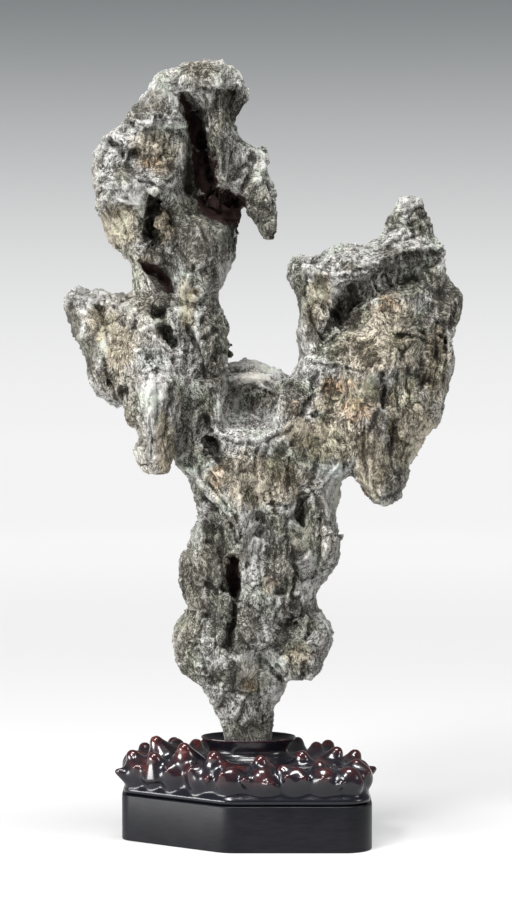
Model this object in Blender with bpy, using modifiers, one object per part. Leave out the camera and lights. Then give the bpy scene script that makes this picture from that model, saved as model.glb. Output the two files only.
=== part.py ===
"""A scholar's rock: a forked grey stone, let into the collar of a carved stand on a plain plinth.

Sizes are in millimetres here and become metres as each mesh is made. X runs to the right, Y to the back
and Z up. The origin is the middle of the plinth's underside.
"""

import math

import bmesh
import bpy
import numpy as np
from mathutils import Matrix, Vector, noise

MM = 0.001
FRONT = -1
BACK = 1

# Driving dimensions
PLINTH_HEIGHT = 29.5
PLINTH_EDGE = 0.8
CORNER_POINTS = 5
PLINTH_CORNERS = (  # x, y and corner radius of the six-sided plan
    (-13, -50, 22),
    (80, -50, 18),
    (80, 4, 12),
    (13, 50, 22),
    (-80, 50, 18),
    (-80, -4, 12),
)
GAP = 0.3
COLLAR_X = 1.5
COLLAR_RADIUS = 30.5
COLLAR_DEPTH = 0.68  # front to back, over its width
COLLAR_NECK = 25.2
COLLAR_RIM = 67.0
DISH_FLOOR = 62.8
SOCKET_FLOOR = 52.0
SOCKET_PLAY = 0.6

BLOCK_FOOT = PLINTH_HEIGHT + GAP
# The carved block's flank: height above its foot, then how far it lies inside the plinth's plan.
FLANK = ((0, 2.6), (0.8, 1.3), (2.8, 0.9), (4.8, 2.0), (6.7, 4.4), (10, 5.4), (15, 6.0), (18, 8.0), (21, 12.0))
# Its top: height above its foot, then how far the plan has turned into the oval round the collar.
CROWN = ((23.7, 0.35), (24.2, 0.7), (23.7, 1.0))
CROWN_RADIUS = 34
BLOCK_VOXEL = 1.3
BLOCK_SMOOTHING = 6

# Knobs: where each tip stands. Those of the lower row are repeated on the back, turned half round.
LOWER_KNOBS = (
    (-84.5, -6, 45.5),
    (-73, -13, 49),
    (-63, -18, 46),
    (-50.5, -27, 49),
    (-36, -37, 51),
    (-25, -44, 47),
    (-16, -49, 50),
    (-2, -52, 47),
    (13, -53, 45),
    (25, -51, 49),
    (36, -51, 48),
    (49, -52, 48),
    (61, -51, 45),
    (74, -47, 44),
    (79.5, -31, 49),
    (81, -14, 45),
)
UPPER_KNOBS = (
    (-75, -1, 58),
    (-60, -18, 59),
    (-60, 6, 66),
    (-46, 19, 62.5),
    (-40, -21, 65.5),
    (-32, 28, 61),
    (-21, -36, 62.5),
    (8.5, -40, 60.5),
    (23, -43, 55),
    (35, -28, 61.5),
    (47, -40, 57),
    (46, 6, 62.5),
    (54, 18, 62),
    (60, -12, 62),
    (72, -26, 56),
    (72, 2, 58),
    (-68, 38, 57),
    (-48, 42, 60),
    (-26, 42, 59),
    (-2, 41, 62),
    (18, 38, 60),
    (34, 30, 62),
)
LOWER_KNOB = {"root": 8, "tip": 2.7, "reach": 12, "drop": 5}
UPPER_KNOB = {"root": 12, "tip": 4.2, "reach": 7, "drop": 14}
KNOB_SPINE = ((-40, 12), (40, -12))  # the knobs lean away from this line

# The stone's masses: height, left, right, front and back of each section.
TRUNK = (
    (52.3, -13, 15, -12, 13),
    (66, -14.5, 16.5, -13.5, 14),
    (72, -16, 18.3, -15, 15.5),
    (80, -18, 17.5, -16, 17),
    (85, -21, 17, -17, 18),
    (90, -23.5, 18, -18, 19),
    (96, -28, 22, -21, 20),
    (101, -32, 24, -23, 21),
    (106, -38, 27, -25, 22),
    (111, -43, 30, -26, 22),
    (118, -46, 34, -27, 22),
    (128, -46.5, 36, -28, 23),
    (136, -45, 40, -28, 24),
    (142, -42, 42, -27, 25),
    (148, -36, 44.5, -26, 26),
    (152, -36.5, 46, -27, 27),
    (158, -40.5, 46.5, -29, 28),
    (166, -42, 47.5, -30, 28),
    (172, -42.5, 52, -31, 28),
    (180, -43.5, 59, -31, 28),
    (186, -40, 60.5, -31, 28),
    (193, -35.5, 61, -31, 28),
    (200, -33.5, 60.5, -31, 29),
    (207, -31, 59, -31, 29),
    (213, -32, 57, -31, 30),
    (220, -34, 58.5, -32, 30),
    (228, -35.5, 58.5, -33, 31),
    (236, -37, 60, -34, 32),
    (244, -42, 58, -34, 32),
    (252, -36, 50, -33, 30),
    (262, -28, 42, -31, 26),
    (266, -24, 36, -27, 20),
)
LOWER_LOBE = (
    (104.5, 22, 45, -20, 12),
    (106, 18, 46.5, -23, 15),
    (112, 14, 49, -26, 18),
    (120, 12, 51, -28, 19),
    (129, 12, 54, -27, 20),
    (135.5, 15, 55.5, -24, 19),
    (142, 20, 51.5, -21, 17),
    (148, 26, 47, -18, 14),
)
LEG = (
    (238, -63, -50, -34, -20),
    (240.5, -66, -48.5, -37, -16),
    (247, -69, -47, -39, -12),
    (252, -71, -46.5, -40, -10),
    (257, -67, -46, -40, -8),
    (264, -67.5, -44, -41, -4),
    (268, -73, -43, -41, -2),
    (275, -80, -42, -42, 0),
    (290, -76, -40, -43, 4),
    (305, -78, -38, -42, 8),
    (320, -78, -38, -39, 10),
    (335, -76, -38, -34, 12),
    (348, -72, -40, -28, 12),
    (356, -66, -46, -22, 8),
)
LEFT_WING = (
    (279.5, -87, -80, -8, 2),
    (282, -88.5, -76, -14, 10),
    (290, -93, -60, -20, 18),
    (300, -100, -55, -22, 22),
    (310, -103, -52, -21, 24),
    (318, -105.5, -50, -19, 25),
    (325, -110, -50, -17, 25),
    (332, -113, -50, -15, 24),
    (340, -115.7, -50, -12, 22),
    (346, -116.5, -52, -10, 20),
    (349.5, -115, -56, -7, 17),
    (353.5, -112.5, -104, -3, 10),
)
ARM = (
    (236, -40, -16, -20, 24),
    (246, -46, -12, -21, 25),
    (262, -47, -12, -21, 26),
    (284, -46, -12.5, -22, 26),
    (296, -50, -12.5, -25, 26),
    (310, -58, -12.5, -28, 26),
    (318, -62, -9.7, -28, 25),
    (324, -64, -13.5, -27, 24),
    (328.5, -66, -10.3, -26, 24),
    (334, -68, -13.5, -26, 24),
    (340, -70, -15, -26, 24),
    (350, -71.5, -15.2, -26, 25),
    (358, -72, -14.5, -27, 26),
    (365, -72, -12.5, -28, 27),
    (370, -73.5, -10.2, -28, 28),
    (375, -75.5, -8.2, -28, 28),
    (382, -80, -7, -28, 28),
    (388, -80, -5.5, -28, 28),
    (393, -76, -2.5, -26, 28),
    (397, -72, -0.5, -24, 28),
    (400, -70, -10, -22, 27),
    (404, -66, -24, -19, 27),
    (413, -60, -34, -14, 26),
)
HEAD_LEFT = (
    (376, -76, -50, -20, 22),
    (384, -85, -48, -26, 26),
    (390, -88, -46, -29, 28),
    (396, -90.5, -45, -30, 29),
    (402, -93.5, -44, -31, 30),
    (406, -96.5, -42, -31, 30),
    (412, -95, -41, -32, 30),
    (419, -94, -40, -36, 29),
    (423, -94.5, -39, -35, 29),
    (428, -97.5, -38, -32, 29),
    (434, -98, -38, -31, 28),
    (440, -95.7, -37, -31, 28),
    (446, -93.3, -37, -31, 27),
    (450.5, -90.5, -37, -30, 26),
    (453.5, -86, -36, -29, 25),
    (456, -78, -36, -29, 25),
    (462, -75.5, -35, -27, 25),
    (467, -72.5, -34, -25, 24),
    (471, -68, -36, -24, 24),
    (475, -64, -38, -23, 23),
    (480, -60.5, -38, -22, 22),
    (484, -59, -38, -20, 20),
)
HEAD_FIN = (
    (408, -9, 3, -8, 22),
    (413, -17, 4, -15, 23),
    (420, -21, 4, -18, 24),
    (430, -23, 4, -21, 25),
    (440, -24, 1, -22, 26),
    (448, -25, -2, -23, 26),
    (456, -26, -5.5, -24, 26),
    (462, -28, -5.8, -24, 26),
    (468, -30, -4.5, -24, 26),
    (473, -33, -3, -25, 26),
    (477.5, -36, 1, -26, 26),
    (482, -44, 0.8, -27, 25),
)
HEAD_BACK = (
    (395, -50, -2, 4, 27),
    (430, -50, -5, 5, 27),
    (460, -48, -8, 4, 26),
    (482, -45, -8, 0, 24),
)
HEAD_CAP = (
    (480, -57, 0.5, -28, 19),
    (485, -60, 0, -31, 19),
    (489.5, -59.5, -1, -30, 18),
    (493, -53, -3, -27, 15),
    (496, -42, -6, -23, 11),
    (498.8, -30, -18, -15, 1),
)
SPUR = (
    (385.6, 11, 15.5, -20, -14),
    (388, 9, 19, -22, -12),
    (393, 7, 20, -24, -10),
    (400, 3.5, 20, -24, -6),
    (408, 0, 18.8, -25, -2),
    (416, -3, 17, -24, 5),
    (424, -4, 15.2, -23, 10),
    (431, -4, 13.8, -22, 12),
    (437, -5, 14.7, -21, 14),
    (442, -7, 15.7, -19, 14),
    (445.5, -9, 11, -16, 12),
    (449, -12, 0, -12, 10),
)
RIGHT_WING = (
    (216.3, 88, 93.5, -15, -7),
    (219.5, 82, 96.5, -22, 0),
    (224, 77, 100, -27, 5),
    (230, 72, 103, -30, 10),
    (236, 68.5, 104, -32, 13),
    (240, 66, 103.5, -33, 15),
    (246, 60, 105.5, -33, 18),
    (252, 54, 109.5, -34, 20),
    (260, 46, 115, -34, 21),
    (266, 42, 119.5, -33, 23),
    (274, 38, 123.5, -34, 24),
    (284, 34, 127.8, -34, 24),
    (294, 30, 129.3, -33, 24),
    (303, 31.5, 131.5, -33, 24),
    (311, 34.5, 133, -31, 25),
    (318, 34.5, 131.5, -29, 26),
    (326, 33, 130.8, -27, 26),
    (332, 34.2, 133.5, -24, 26),
    (339, 34.2, 137, -21, 27),
    (346, 33, 138.7, -20, 26),
    (351, 31, 136.5, -19, 26),
    (356, 32, 131.5, -18, 27),
    (362, 34, 127, -19, 26),
    (368, 38, 126, -19, 25),
    (374, 45.5, 126.5, -18, 23),
    (378.5, 46.7, 128.7, -14, 20),
    (381, 62, 128, -7, 16),
    (384, 82, 125.5, -3, 13),
)
PEAK = (
    (376, 78, 126, -13, 21),
    (384, 82.5, 126, -10, 19),
    (387, 85.5, 122, -8, 18),
    (392, 87, 118.5, -6, 17),
    (398, 89.5, 118, -6, 17),
    (405, 93, 117.5, -5, 16),
    (411, 96, 117, -3, 15),
    (415.5, 98.5, 115.5, -1, 13),
)
INNER_HORN = (
    (326, 33, 52, -20, 14),
    (340, 34, 50, -20, 14),
    (350, 31, 49, -20, 14),
    (358, 28.5, 47, -19, 13),
    (366, 27.3, 45.5, -17, 12),
    (371, 26.3, 43, -14, 9),
    (375, 30.5, 40.5, -10, 5),
    (377.3, 34, 38, -6, 1),
)
BRIDGE = (
    (237, 40, 69, -24, 18),
    (244, 30, 72, -30, 22),
    (256, 20, 74, -33, 24),
    (268, 15, 74, -33, 25),
    (280, 18, 74, -32, 25),
    (292, 24, 74, -30, 25),
    (300, 30, 72, -28, 24),
)
SADDLE_WALL = (
    (240, -25, 35, 0, 30),
    (270, -22, 34, 6, 30),
    (284, -20, 32, 7, 32),
    (292, -17, 29, 3, 33),
    (296, -15, 29, 2, 34),
    (300, -14, 26, 8, 34),
    (304, -13, 18, 14, 34),
    (308, -12, 13, 20, 34),
    (310.5, -2, 10, 24, 32),
)
BACK_LOBE = (
    (118, -22, 10, 10, 26),
    (124, -28, 16, 8, 34),
    (136, -30, 20, 6, 38),
    (148, -26, 22, 8, 36),
    (158, -18, 16, 12, 30),
)
BACK_SPUR = (
    (252, 68, 80, 14, 22),
    (258, 62, 86, 10, 31),
    (272, 56, 92, 8, 37),
    (290, 50, 94, 6, 38),
    (310, 54, 90, 8, 34),
    (324, 60, 84, 10, 24),
)
BACK_BROW = (
    (402, -70, -40, 12, 28),
    (408, -78, -34, 10, 36),
    (428, -76, -26, 8, 39),
    (444, -66, -24, 8, 36),
    (458, -54, -26, 10, 28),
)
MASSES = (
    TRUNK,
    LOWER_LOBE,
    LEG,
    LEFT_WING,
    ARM,
    HEAD_LEFT,
    HEAD_FIN,
    HEAD_BACK,
    HEAD_CAP,
    SPUR,
    RIGHT_WING,
    PEAK,
    INNER_HORN,
    BRIDGE,
    SADDLE_WALL,
    BACK_LOBE,
    BACK_SPUR,
    BACK_BROW,
)

# Hollows worn into the stone: centre, radii, and the tilt in the plane seen from the front, in degrees.
HOLLOWS = {
    "saddle_bowl": ((4, -4, 277), (20, 15, 13), 0),
    "throat": ((-57, -26, 398), (7, 18, 20), 4),
    "slanting_slit": ((-56, -24, 364), (16, 18, 4.5), 40),
    "slit_mouth": ((-50, -25, 362), (5, 16, 9), -10),
    "neck_pocket": ((-56, -30, 339), (7, 10, 4), 0),
    "neck_hollow": ((-49, -29, 325), (11, 11, 4), 55),
    "shoulder_scoop": ((65, -20, 343), (15, 18, 15), -35),
    "ledge_scoop": ((98, -22, 362), (33, 19, 11.5), -13),
    "leg_hollow": ((-78, -24, 285), (6, 13, 10), 15),
    "fork_groove": ((-21, -28, 255), (15, 14, 4.5), 64),
    "cap_pit": ((-26, -29, 481), (4.5, 8, 2.8), 0),
    "inner_hole": ((42, -33, 297), (4, 12, 6), -20),
    "wing_groove": ((93, -36, 262), (5, 12, 14), 8),
    "back_arm_hollow": ((-42, 30, 338), (9, 12, 30), 10),
    "back_trunk_hollow": ((14, 34, 200), (10, 14, 26), -16),
    "back_wing_hollow": ((104, 28, 322), (12, 12, 30), 20),
    "back_head_hollow": ((-40, 33, 470), (8, 12, 12), -20),
    "back_fork_hollow": ((2, 36, 262), (20, 12, 13), 10),
    "back_brow_pit": ((-60, 41, 426), (9, 9, 6), -15),
}
TRUNK_SLOT = (
    (156.5, -10, -4.5, -50, -18),
    (160, -12.5, -3, -50, -14),
    (172, -13, -3, -50, -12),
    (181, -13, -3.5, -50, -12),
    (185.5, -11, -5, -50, -17),
)

# Strokes drawn on the front or the back: side, half width, depth (a ridge is negative), then x and z.
STROKES = (
    (FRONT, 6, 6, ((-9, 158), (-8, 140), (-10, 126))),
    (FRONT, 5, 6, ((8, 120), (15, 113), (26, 104))),
    (FRONT, 7, 6, ((22, 139), (34, 146), (40, 152))),
    (FRONT, 7, 6, ((34, 222), (33, 212), (34, 202))),
    (FRONT, 7, 6, ((4, 228), (8, 212), (11, 200))),
    (FRONT, 9, 7, ((-22, 212), (-18, 200), (-16, 188))),
    (FRONT, 8, -6, ((-44, 244), (-26, 222), (-10, 208), (-3, 190))),
    (FRONT, 7, -4, ((-6, 244), (-3, 224), (0, 204))),
    (FRONT, 9, -5, ((48, 214), (54, 198), (52, 182))),
    (FRONT, 8, -5, ((-20, 268), (-10, 260), (4, 256), (18, 260))),
    (FRONT, 7, 5, ((-39, 332), (-33, 318), (-29, 300))),
    (FRONT, 6, 4, ((-72, 333), (-78, 320))),
    (FRONT, 8, -4, ((-60, 304), (-61, 285), (-60, 262))),
    (FRONT, 7, 5, ((-92, 345), (-88, 330))),
    (FRONT, 6, 5, ((-70, 442), (-74, 430), (-60, 424))),
    (FRONT, 8, -4, ((-88, 420), (-74, 420), (-62, 418))),
    (FRONT, 6, 5, ((4, 438), (4, 428), (0, 417))),
    (FRONT, 12, -5, ((80, 330), (84, 310), (72, 292))),
    (FRONT, 6, 5, ((87, 300), (87, 282))),
    (FRONT, 7, 5, ((112, 345), (114, 318), (112, 296))),
    (FRONT, 7, 5, ((124, 350), (123, 330), (122, 312))),
    (BACK, 9, -6, ((-30, 120), (-18, 160), (-26, 210))),
    (BACK, 9, -6, ((34, 130), (40, 176), (28, 236), (60, 270))),
    (BACK, 7, 6, ((-6, 100), (2, 132), (-4, 168))),
    (BACK, 8, -5, ((-86, 402), (-66, 412), (-40, 408))),
    (BACK, 8, 6, ((-18, 480), (-24, 450), (-20, 416))),
    (BACK, 8, -5, ((58, 372), (88, 366), (120, 372))),
    (BACK, 8, 6, ((112, 350), (116, 312), (104, 268))),
    (BACK, 8, 6, ((-92, 342), (-84, 312))),
)
# Ledges: side, reach, rise, then x and z from the viewer's left to the right.
LEDGES = (
    (FRONT, 10, 5.0, ((-60, 483), (-44, 486), (-28, 484), (-12, 482), (1, 483))),
    (FRONT, 10, 5.0, ((-76, 455), (-66, 459), (-42, 457))),
    (FRONT, 9, 4.5, ((-88, 447), (-76, 447), (-66, 441))),
    (FRONT, 10, 5.0, ((-94, 419), (-78, 419), (-62, 421), (-46, 421))),
    (FRONT, 9, 4.5, ((44, 362), (58, 358), (76, 366), (96, 374), (112, 380), (128, 376))),
    (FRONT, 9, 4.0, ((-14, 295), (6, 297), (26, 292))),
    (FRONT, 9, 4.0, ((10, 127), (26, 132), (50, 126))),
    (FRONT, 8, 3.0, ((-116, 346), (-104, 346), (-92, 344))),
    (BACK, 9, 4.0, ((4, 478), (-26, 480), (-58, 476))),
    (BACK, 9, 3.5, ((40, 150), (10, 144), (-36, 152))),
    (BACK, 9, 3.5, ((60, 238), (20, 230), (-34, 240))),
)

SECTION_POINTS = 28
SECTION_POWER = 2.5
STONE_VOXEL = 2.0
STONE_SMOOTHING = 2
CUTTER_VOXEL = 1.5
STONE_TRIANGLES = 6800
STAND_TRIANGLES = 1900
LUMP_HEIGHT = 1.9
LUMP_SIZE = 21
FURROW_HEIGHT = 1.8
FURROW_SIZE = (8, 8, 24)
PLAIN_FOOT = (70, 86)  # the surface is left plain below the first height and fully worn above the second


def collection(name, parent):
    made = bpy.data.collections.new(name)
    parent.children.link(made)
    return made


def material(name, colour, roughness, metallic=0.0):
    made = bpy.data.materials.new(name)
    made.use_nodes = True
    shader = made.node_tree.nodes["Principled BSDF"]
    shader.inputs["Base Color"].default_value = (*colour, 1)
    shader.inputs["Roughness"].default_value = roughness
    shader.inputs["Metallic"].default_value = metallic
    return made


def add_object(name, data, group):
    made = bpy.data.objects.new(name, data)
    group.objects.link(made)
    return made


def add_guide(name, data, group):
    made = add_object(name, data, group)
    made.hide_render = True
    made.display_type = "WIRE"
    return made


def superellipse():
    """Points round a unit section that is fuller than a circle."""
    turn = np.arange(SECTION_POINTS) * 2 * math.pi / SECTION_POINTS
    cosine, sine = np.cos(turn), np.sin(turn)
    return (
        np.sign(cosine) * np.abs(cosine) ** (2 / SECTION_POWER),
        np.sign(sine) * np.abs(sine) ** (2 / SECTION_POWER),
    )


def sections(stations):
    """The rings of a mass, each a list of points in metres."""
    across, along = superellipse()
    rings = []
    for height, left, right, front, back in stations:
        x = (left + right) / 2 + across * (right - left) / 2
        y = (front + back) / 2 + along * (back - front) / 2
        rings.append([Vector((a, b, height)) * MM for a, b in zip(x, y)])
    return rings


def bridge_rings(shape, rings):
    """Skins rings of equal counts and closes both ends."""
    rows = [[shape.verts.new(point) for point in ring] for ring in rings]
    count = len(rows[0])
    for lower, upper in zip(rows, rows[1:]):
        for i in range(count):
            j = (i + 1) % count
            shape.faces.new((lower[i], lower[j], upper[j], upper[i]))
    shape.faces.new(rows[0][::-1])
    shape.faces.new(rows[-1])


def mesh_from(name, build):
    shape = bmesh.new()
    build(shape)
    bmesh.ops.recalc_face_normals(shape, faces=shape.faces)
    made = bpy.data.meshes.new(name)
    shape.to_mesh(made)
    shape.free()
    return made


def evaluated_mesh(source, name):
    """The mesh that an object's modifiers make, as a mesh of its own. The object is removed."""
    graph = bpy.context.evaluated_depsgraph_get()
    made = bpy.data.meshes.new_from_object(source.evaluated_get(graph))
    made.name = name
    bpy.data.objects.remove(source)
    return made


def add_remesh(target, voxel):
    remesh = target.modifiers.new("fuse", "REMESH")
    remesh.mode = "VOXEL"
    remesh.voxel_size = voxel * MM


def add_smooth(target, iterations):
    soften = target.modifiers.new("soften", "SMOOTH")
    soften.factor = 0.5
    soften.iterations = iterations


def add_boolean(target, name, operation, other):
    cut = target.modifiers.new(name, "BOOLEAN")
    cut.operation = operation
    cut.object = other


def add_decimate(target, mesh, triangles):
    thin = target.modifiers.new("thin_out", "DECIMATE")
    thin.ratio = triangles / sum(len(face.vertices) - 2 for face in mesh.polygons)


def hollow_mesh(name, centre, radii, tilt):
    """An ellipsoid, turned about the line of sight."""
    place = (
        Matrix.Translation(Vector(centre) * MM)
        @ Matrix.Rotation(math.radians(tilt), 4, "Y")
        @ Matrix.Diagonal((*(Vector(radii) * MM), 1))
    )
    return mesh_from(
        name,
        lambda shape: bmesh.ops.create_uvsphere(shape, u_segments=20, v_segments=12, radius=1, matrix=place),
    )


def stone_cutter(group):
    """Every hollow and the slot, fused into one cutter."""
    joined = bpy.data.meshes.new("hollows")
    shape = bmesh.new()
    for name, (centre, radii, tilt) in HOLLOWS.items():
        hollow = hollow_mesh(name, centre, radii, tilt)
        shape.from_mesh(hollow)
        bpy.data.meshes.remove(hollow)
    bridge_rings(shape, sections(TRUNK_SLOT))
    bmesh.ops.recalc_face_normals(shape, faces=shape.faces)
    shape.to_mesh(joined)
    shape.free()
    raw = add_guide("hollows_raw", joined, group)
    add_remesh(raw, CUTTER_VOXEL)
    return add_guide("hollows", evaluated_mesh(raw, "hollows"), group)


def read_points(mesh):
    points = np.empty(len(mesh.vertices) * 3, np.float32)
    mesh.vertices.foreach_get("co", points)
    return points.reshape(-1, 3).astype(np.float64) / MM


def read_normals(mesh):
    normals = np.empty(len(mesh.vertices) * 3, np.float32)
    mesh.vertex_normals.foreach_get("vector", normals)
    return normals.reshape(-1, 3).astype(np.float64)


def write_points(mesh, points):
    mesh.vertices.foreach_set("co", (points * MM).astype(np.float32).ravel())
    mesh.update()


def from_path(points, path):
    """How far each point lies from a path in the elevation, and on which side (above is positive)."""
    nearest = np.full(len(points), np.inf)
    side = np.ones(len(points))
    for start, end in zip(np.array(path[:-1], float), np.array(path[1:], float)):
        run = end - start
        offset = points - start
        share = np.clip(offset @ run / (run @ run), 0, 1)
        distance = np.linalg.norm(offset - share[:, None] * run, axis=1)
        closer = distance < nearest
        cross = run[0] * offset[:, 1] - run[1] * offset[:, 0]
        side[closer] = np.sign(cross)[closer]
        nearest = np.minimum(nearest, distance)
    return nearest, side


def facing(mesh, side):
    """How squarely each vertex faces the front or the back, from 0 to 1."""
    return np.clip((read_normals(mesh)[:, 1] * side - 0.1) / 0.5, 0, 1)


def carve_stroke(mesh, side, half_width, depth, path):
    points = read_points(mesh)
    distance, _ = from_path(points[:, [0, 2]], path)
    weight = np.clip(1 - (distance / half_width) ** 2, 0, 1) ** 2
    points[:, 1] -= side * depth * weight * facing(mesh, side)
    write_points(mesh, points)


def carve_ledge(mesh, side, reach, rise, path):
    """Raises the band above a line and undercuts the one below it."""
    points = read_points(mesh)
    distance, above = from_path(points[:, [0, 2]], path)
    above = above * -side
    fade = np.clip(1 - distance / reach, 0, 1)
    points[:, 1] += side * rise * np.where(above > 0, fade, -0.8 * fade**0.5 * (fade > 0)) * facing(mesh, side)
    write_points(mesh, points)


def wear(mesh):
    """Broad lumps and upright furrows over the whole stone, fading out at its foot."""
    points = read_points(mesh)
    normals = read_normals(mesh)
    furrow = np.array(FURROW_SIZE, float)
    lumps = np.array([noise.noise(Vector(p)) for p in points / LUMP_SIZE])
    ridges = np.array([1 - 2 * abs(noise.noise(Vector(p))) for p in points / furrow])
    start, end = PLAIN_FOOT
    fade = np.clip((points[:, 2] - start) / (end - start), 0, 1)
    push = fade * (LUMP_HEIGHT * 2 * lumps + FURROW_HEIGHT * (ridges - 0.6))
    write_points(mesh, points + normals * push[:, None])


def add_masses(shape):
    for mass in MASSES:
        bridge_rings(shape, sections(mass))


def make_stone(group, cutters):
    raw = add_guide("masses", mesh_from("masses", add_masses), cutters)
    add_remesh(raw, STONE_VOXEL)
    add_boolean(raw, "hollow_out", "DIFFERENCE", stone_cutter(cutters))
    add_remesh(raw, STONE_VOXEL)
    add_smooth(raw, STONE_SMOOTHING)
    mesh = evaluated_mesh(raw, "stone")
    for stroke in STROKES:
        carve_stroke(mesh, *stroke)
    for ledge in LEDGES:
        carve_ledge(mesh, *ledge)
    wear(mesh)
    worn = add_guide("worn", mesh, cutters)
    add_remesh(worn, STONE_VOXEL)
    fused = evaluated_mesh(worn, "stone")
    stone = add_object("stone", fused, group)
    add_decimate(stone, fused, STONE_TRIANGLES)
    fused.materials.append(material("grey_limestone", (0.15, 0.15, 0.14), 0.75))
    return stone


def plan_points():
    """The rounded six-sided plan, anticlockwise, with the outward direction at each point."""
    points, outward = [], []
    count = len(PLINTH_CORNERS)
    for i, (x, y, radius) in enumerate(PLINTH_CORNERS):
        corner = Vector((x, y))
        before = (Vector(PLINTH_CORNERS[i - 1][:2]) - corner).normalized()
        after = (Vector(PLINTH_CORNERS[(i + 1) % count][:2]) - corner).normalized()
        half = before.angle(after) / 2
        centre = corner + (before + after).normalized() * radius / math.sin(half)
        first = (corner + before * radius / math.tan(half) - centre).normalized()
        sweep = math.pi - 2 * half
        for step in range(CORNER_POINTS):
            turn = Matrix.Rotation(sweep * step / (CORNER_POINTS - 1), 2)
            direction = turn @ first
            points.append(centre + direction * radius)
            outward.append(direction)
    return points, outward


def make_plinth(group):
    curve = bpy.data.curves.new("plinth", "CURVE")
    curve.dimensions = "2D"
    curve.fill_mode = "BOTH"
    curve.extrude = (PLINTH_HEIGHT / 2 - PLINTH_EDGE) * MM
    curve.bevel_depth = PLINTH_EDGE * MM
    curve.bevel_resolution = 1
    curve.offset = -PLINTH_EDGE * MM
    points, _ = plan_points()
    spline = curve.splines.new("POLY")
    spline.points.add(len(points) - 1)
    for target, (x, y) in zip(spline.points, points):
        target.co = (x * MM, y * MM, 0, 1)
    spline.use_cyclic_u = True
    curve.materials.append(material("blue_black_lacquer", (0.012, 0.014, 0.02), 0.32))
    plinth = add_object("plinth", curve, group)
    plinth.location.z = PLINTH_HEIGHT / 2 * MM
    return plinth


def round_collar(direction, radius):
    """The point of an oval round the collar in this direction."""
    place = direction.normalized() * radius
    return Vector((COLLAR_X + place.x, place.y * COLLAR_DEPTH))


def block_rings():
    points, outward = plan_points()
    rings = [
        [Vector((*(p - n * inset), BLOCK_FOOT + height)) * MM for p, n in zip(points, outward)]
        for height, inset in FLANK
    ]
    last = FLANK[-1][1]
    for height, share in CROWN:
        ring = []
        for p, n in zip(points, outward):
            edge = p - n * last
            place = edge.lerp(round_collar(edge, CROWN_RADIUS), share)
            ring.append(Vector((*place, BLOCK_FOOT + height)) * MM)
        rings.append(ring)
    return rings


def add_knob(shape, tip, knob):
    """A rounded cone whose root lies inside the block."""
    start, end = (Vector(point) for point in KNOB_SPINE)
    tip = Vector(tip)
    share = min(max((tip.xy - start).dot(end - start) / (end - start).length_squared, 0), 1)
    outward = (tip.xy - start.lerp(end, share)).normalized()
    root = tip - outward.to_3d() * knob["reach"] - Vector((0, 0, knob["drop"]))
    way = (tip - root).normalized()
    length = (tip - root).length - knob["tip"]
    turn = way.to_track_quat("Z", "Y").to_matrix().to_4x4()
    cone = Matrix.Translation((root + way * length / 2) * MM) @ turn @ Matrix.Scale(MM, 4)
    bmesh.ops.create_cone(
        shape, cap_ends=True, segments=16, radius1=knob["root"], radius2=knob["tip"], depth=length, matrix=cone
    )
    ball = Matrix.Translation((root + way * length) * MM) @ Matrix.Scale(MM, 4)
    bmesh.ops.create_uvsphere(shape, u_segments=12, v_segments=8, radius=knob["tip"] * 1.02, matrix=ball)


def collar_profile():
    """Radius and height, from the dish's middle over the rim and down the neck."""
    return (
        (0, DISH_FLOOR - 0.6),
        (20, DISH_FLOOR),
        (26, DISH_FLOOR + 1.4),
        (COLLAR_RADIUS - 0.6, COLLAR_RIM),
        (COLLAR_RADIUS, COLLAR_RIM - 0.3),
        (COLLAR_RADIUS - 0.8, COLLAR_RIM - 1.6),
        (COLLAR_RADIUS - 3.7, COLLAR_RIM - 4.5),
        (COLLAR_NECK, COLLAR_RIM - 7.5),
        (COLLAR_NECK + 0.8, COLLAR_RIM - 10),
        (COLLAR_NECK + 4.3, COLLAR_RIM - 12.2),
        (COLLAR_NECK + 6.8, COLLAR_RIM - 17),
        (0, COLLAR_RIM - 20),
    )


def make_collar(group):
    def profile(shape):
        points = [shape.verts.new((r * MM, 0, z * MM)) for r, z in collar_profile()]
        for upper, lower in zip(points, points[1:]):
            shape.edges.new((upper, lower))

    collar = add_guide("collar", mesh_from("collar", profile), group)
    collar.location.x = COLLAR_X * MM
    collar.scale.y = COLLAR_DEPTH
    screw = collar.modifiers.new("turn", "SCREW")
    screw.axis = "Z"
    screw.steps = screw.render_steps = 28
    screw.use_merge_vertices = True
    screw.merge_threshold = 0.00005
    screw.use_normal_calculate = True
    return collar


def make_socket(group):
    """The pocket that the stone's foot stands in, a little wider than the foot."""
    _, left, right, front, back = TRUNK[1]
    grown = (left - SOCKET_PLAY, right + SOCKET_PLAY, front - SOCKET_PLAY, back + SOCKET_PLAY)
    pocket = ((SOCKET_FLOOR, *grown), (COLLAR_RIM + 5, *grown))
    mesh = mesh_from("socket", lambda shape: bridge_rings(shape, sections(pocket)))
    return add_guide("socket", mesh, group)


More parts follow.
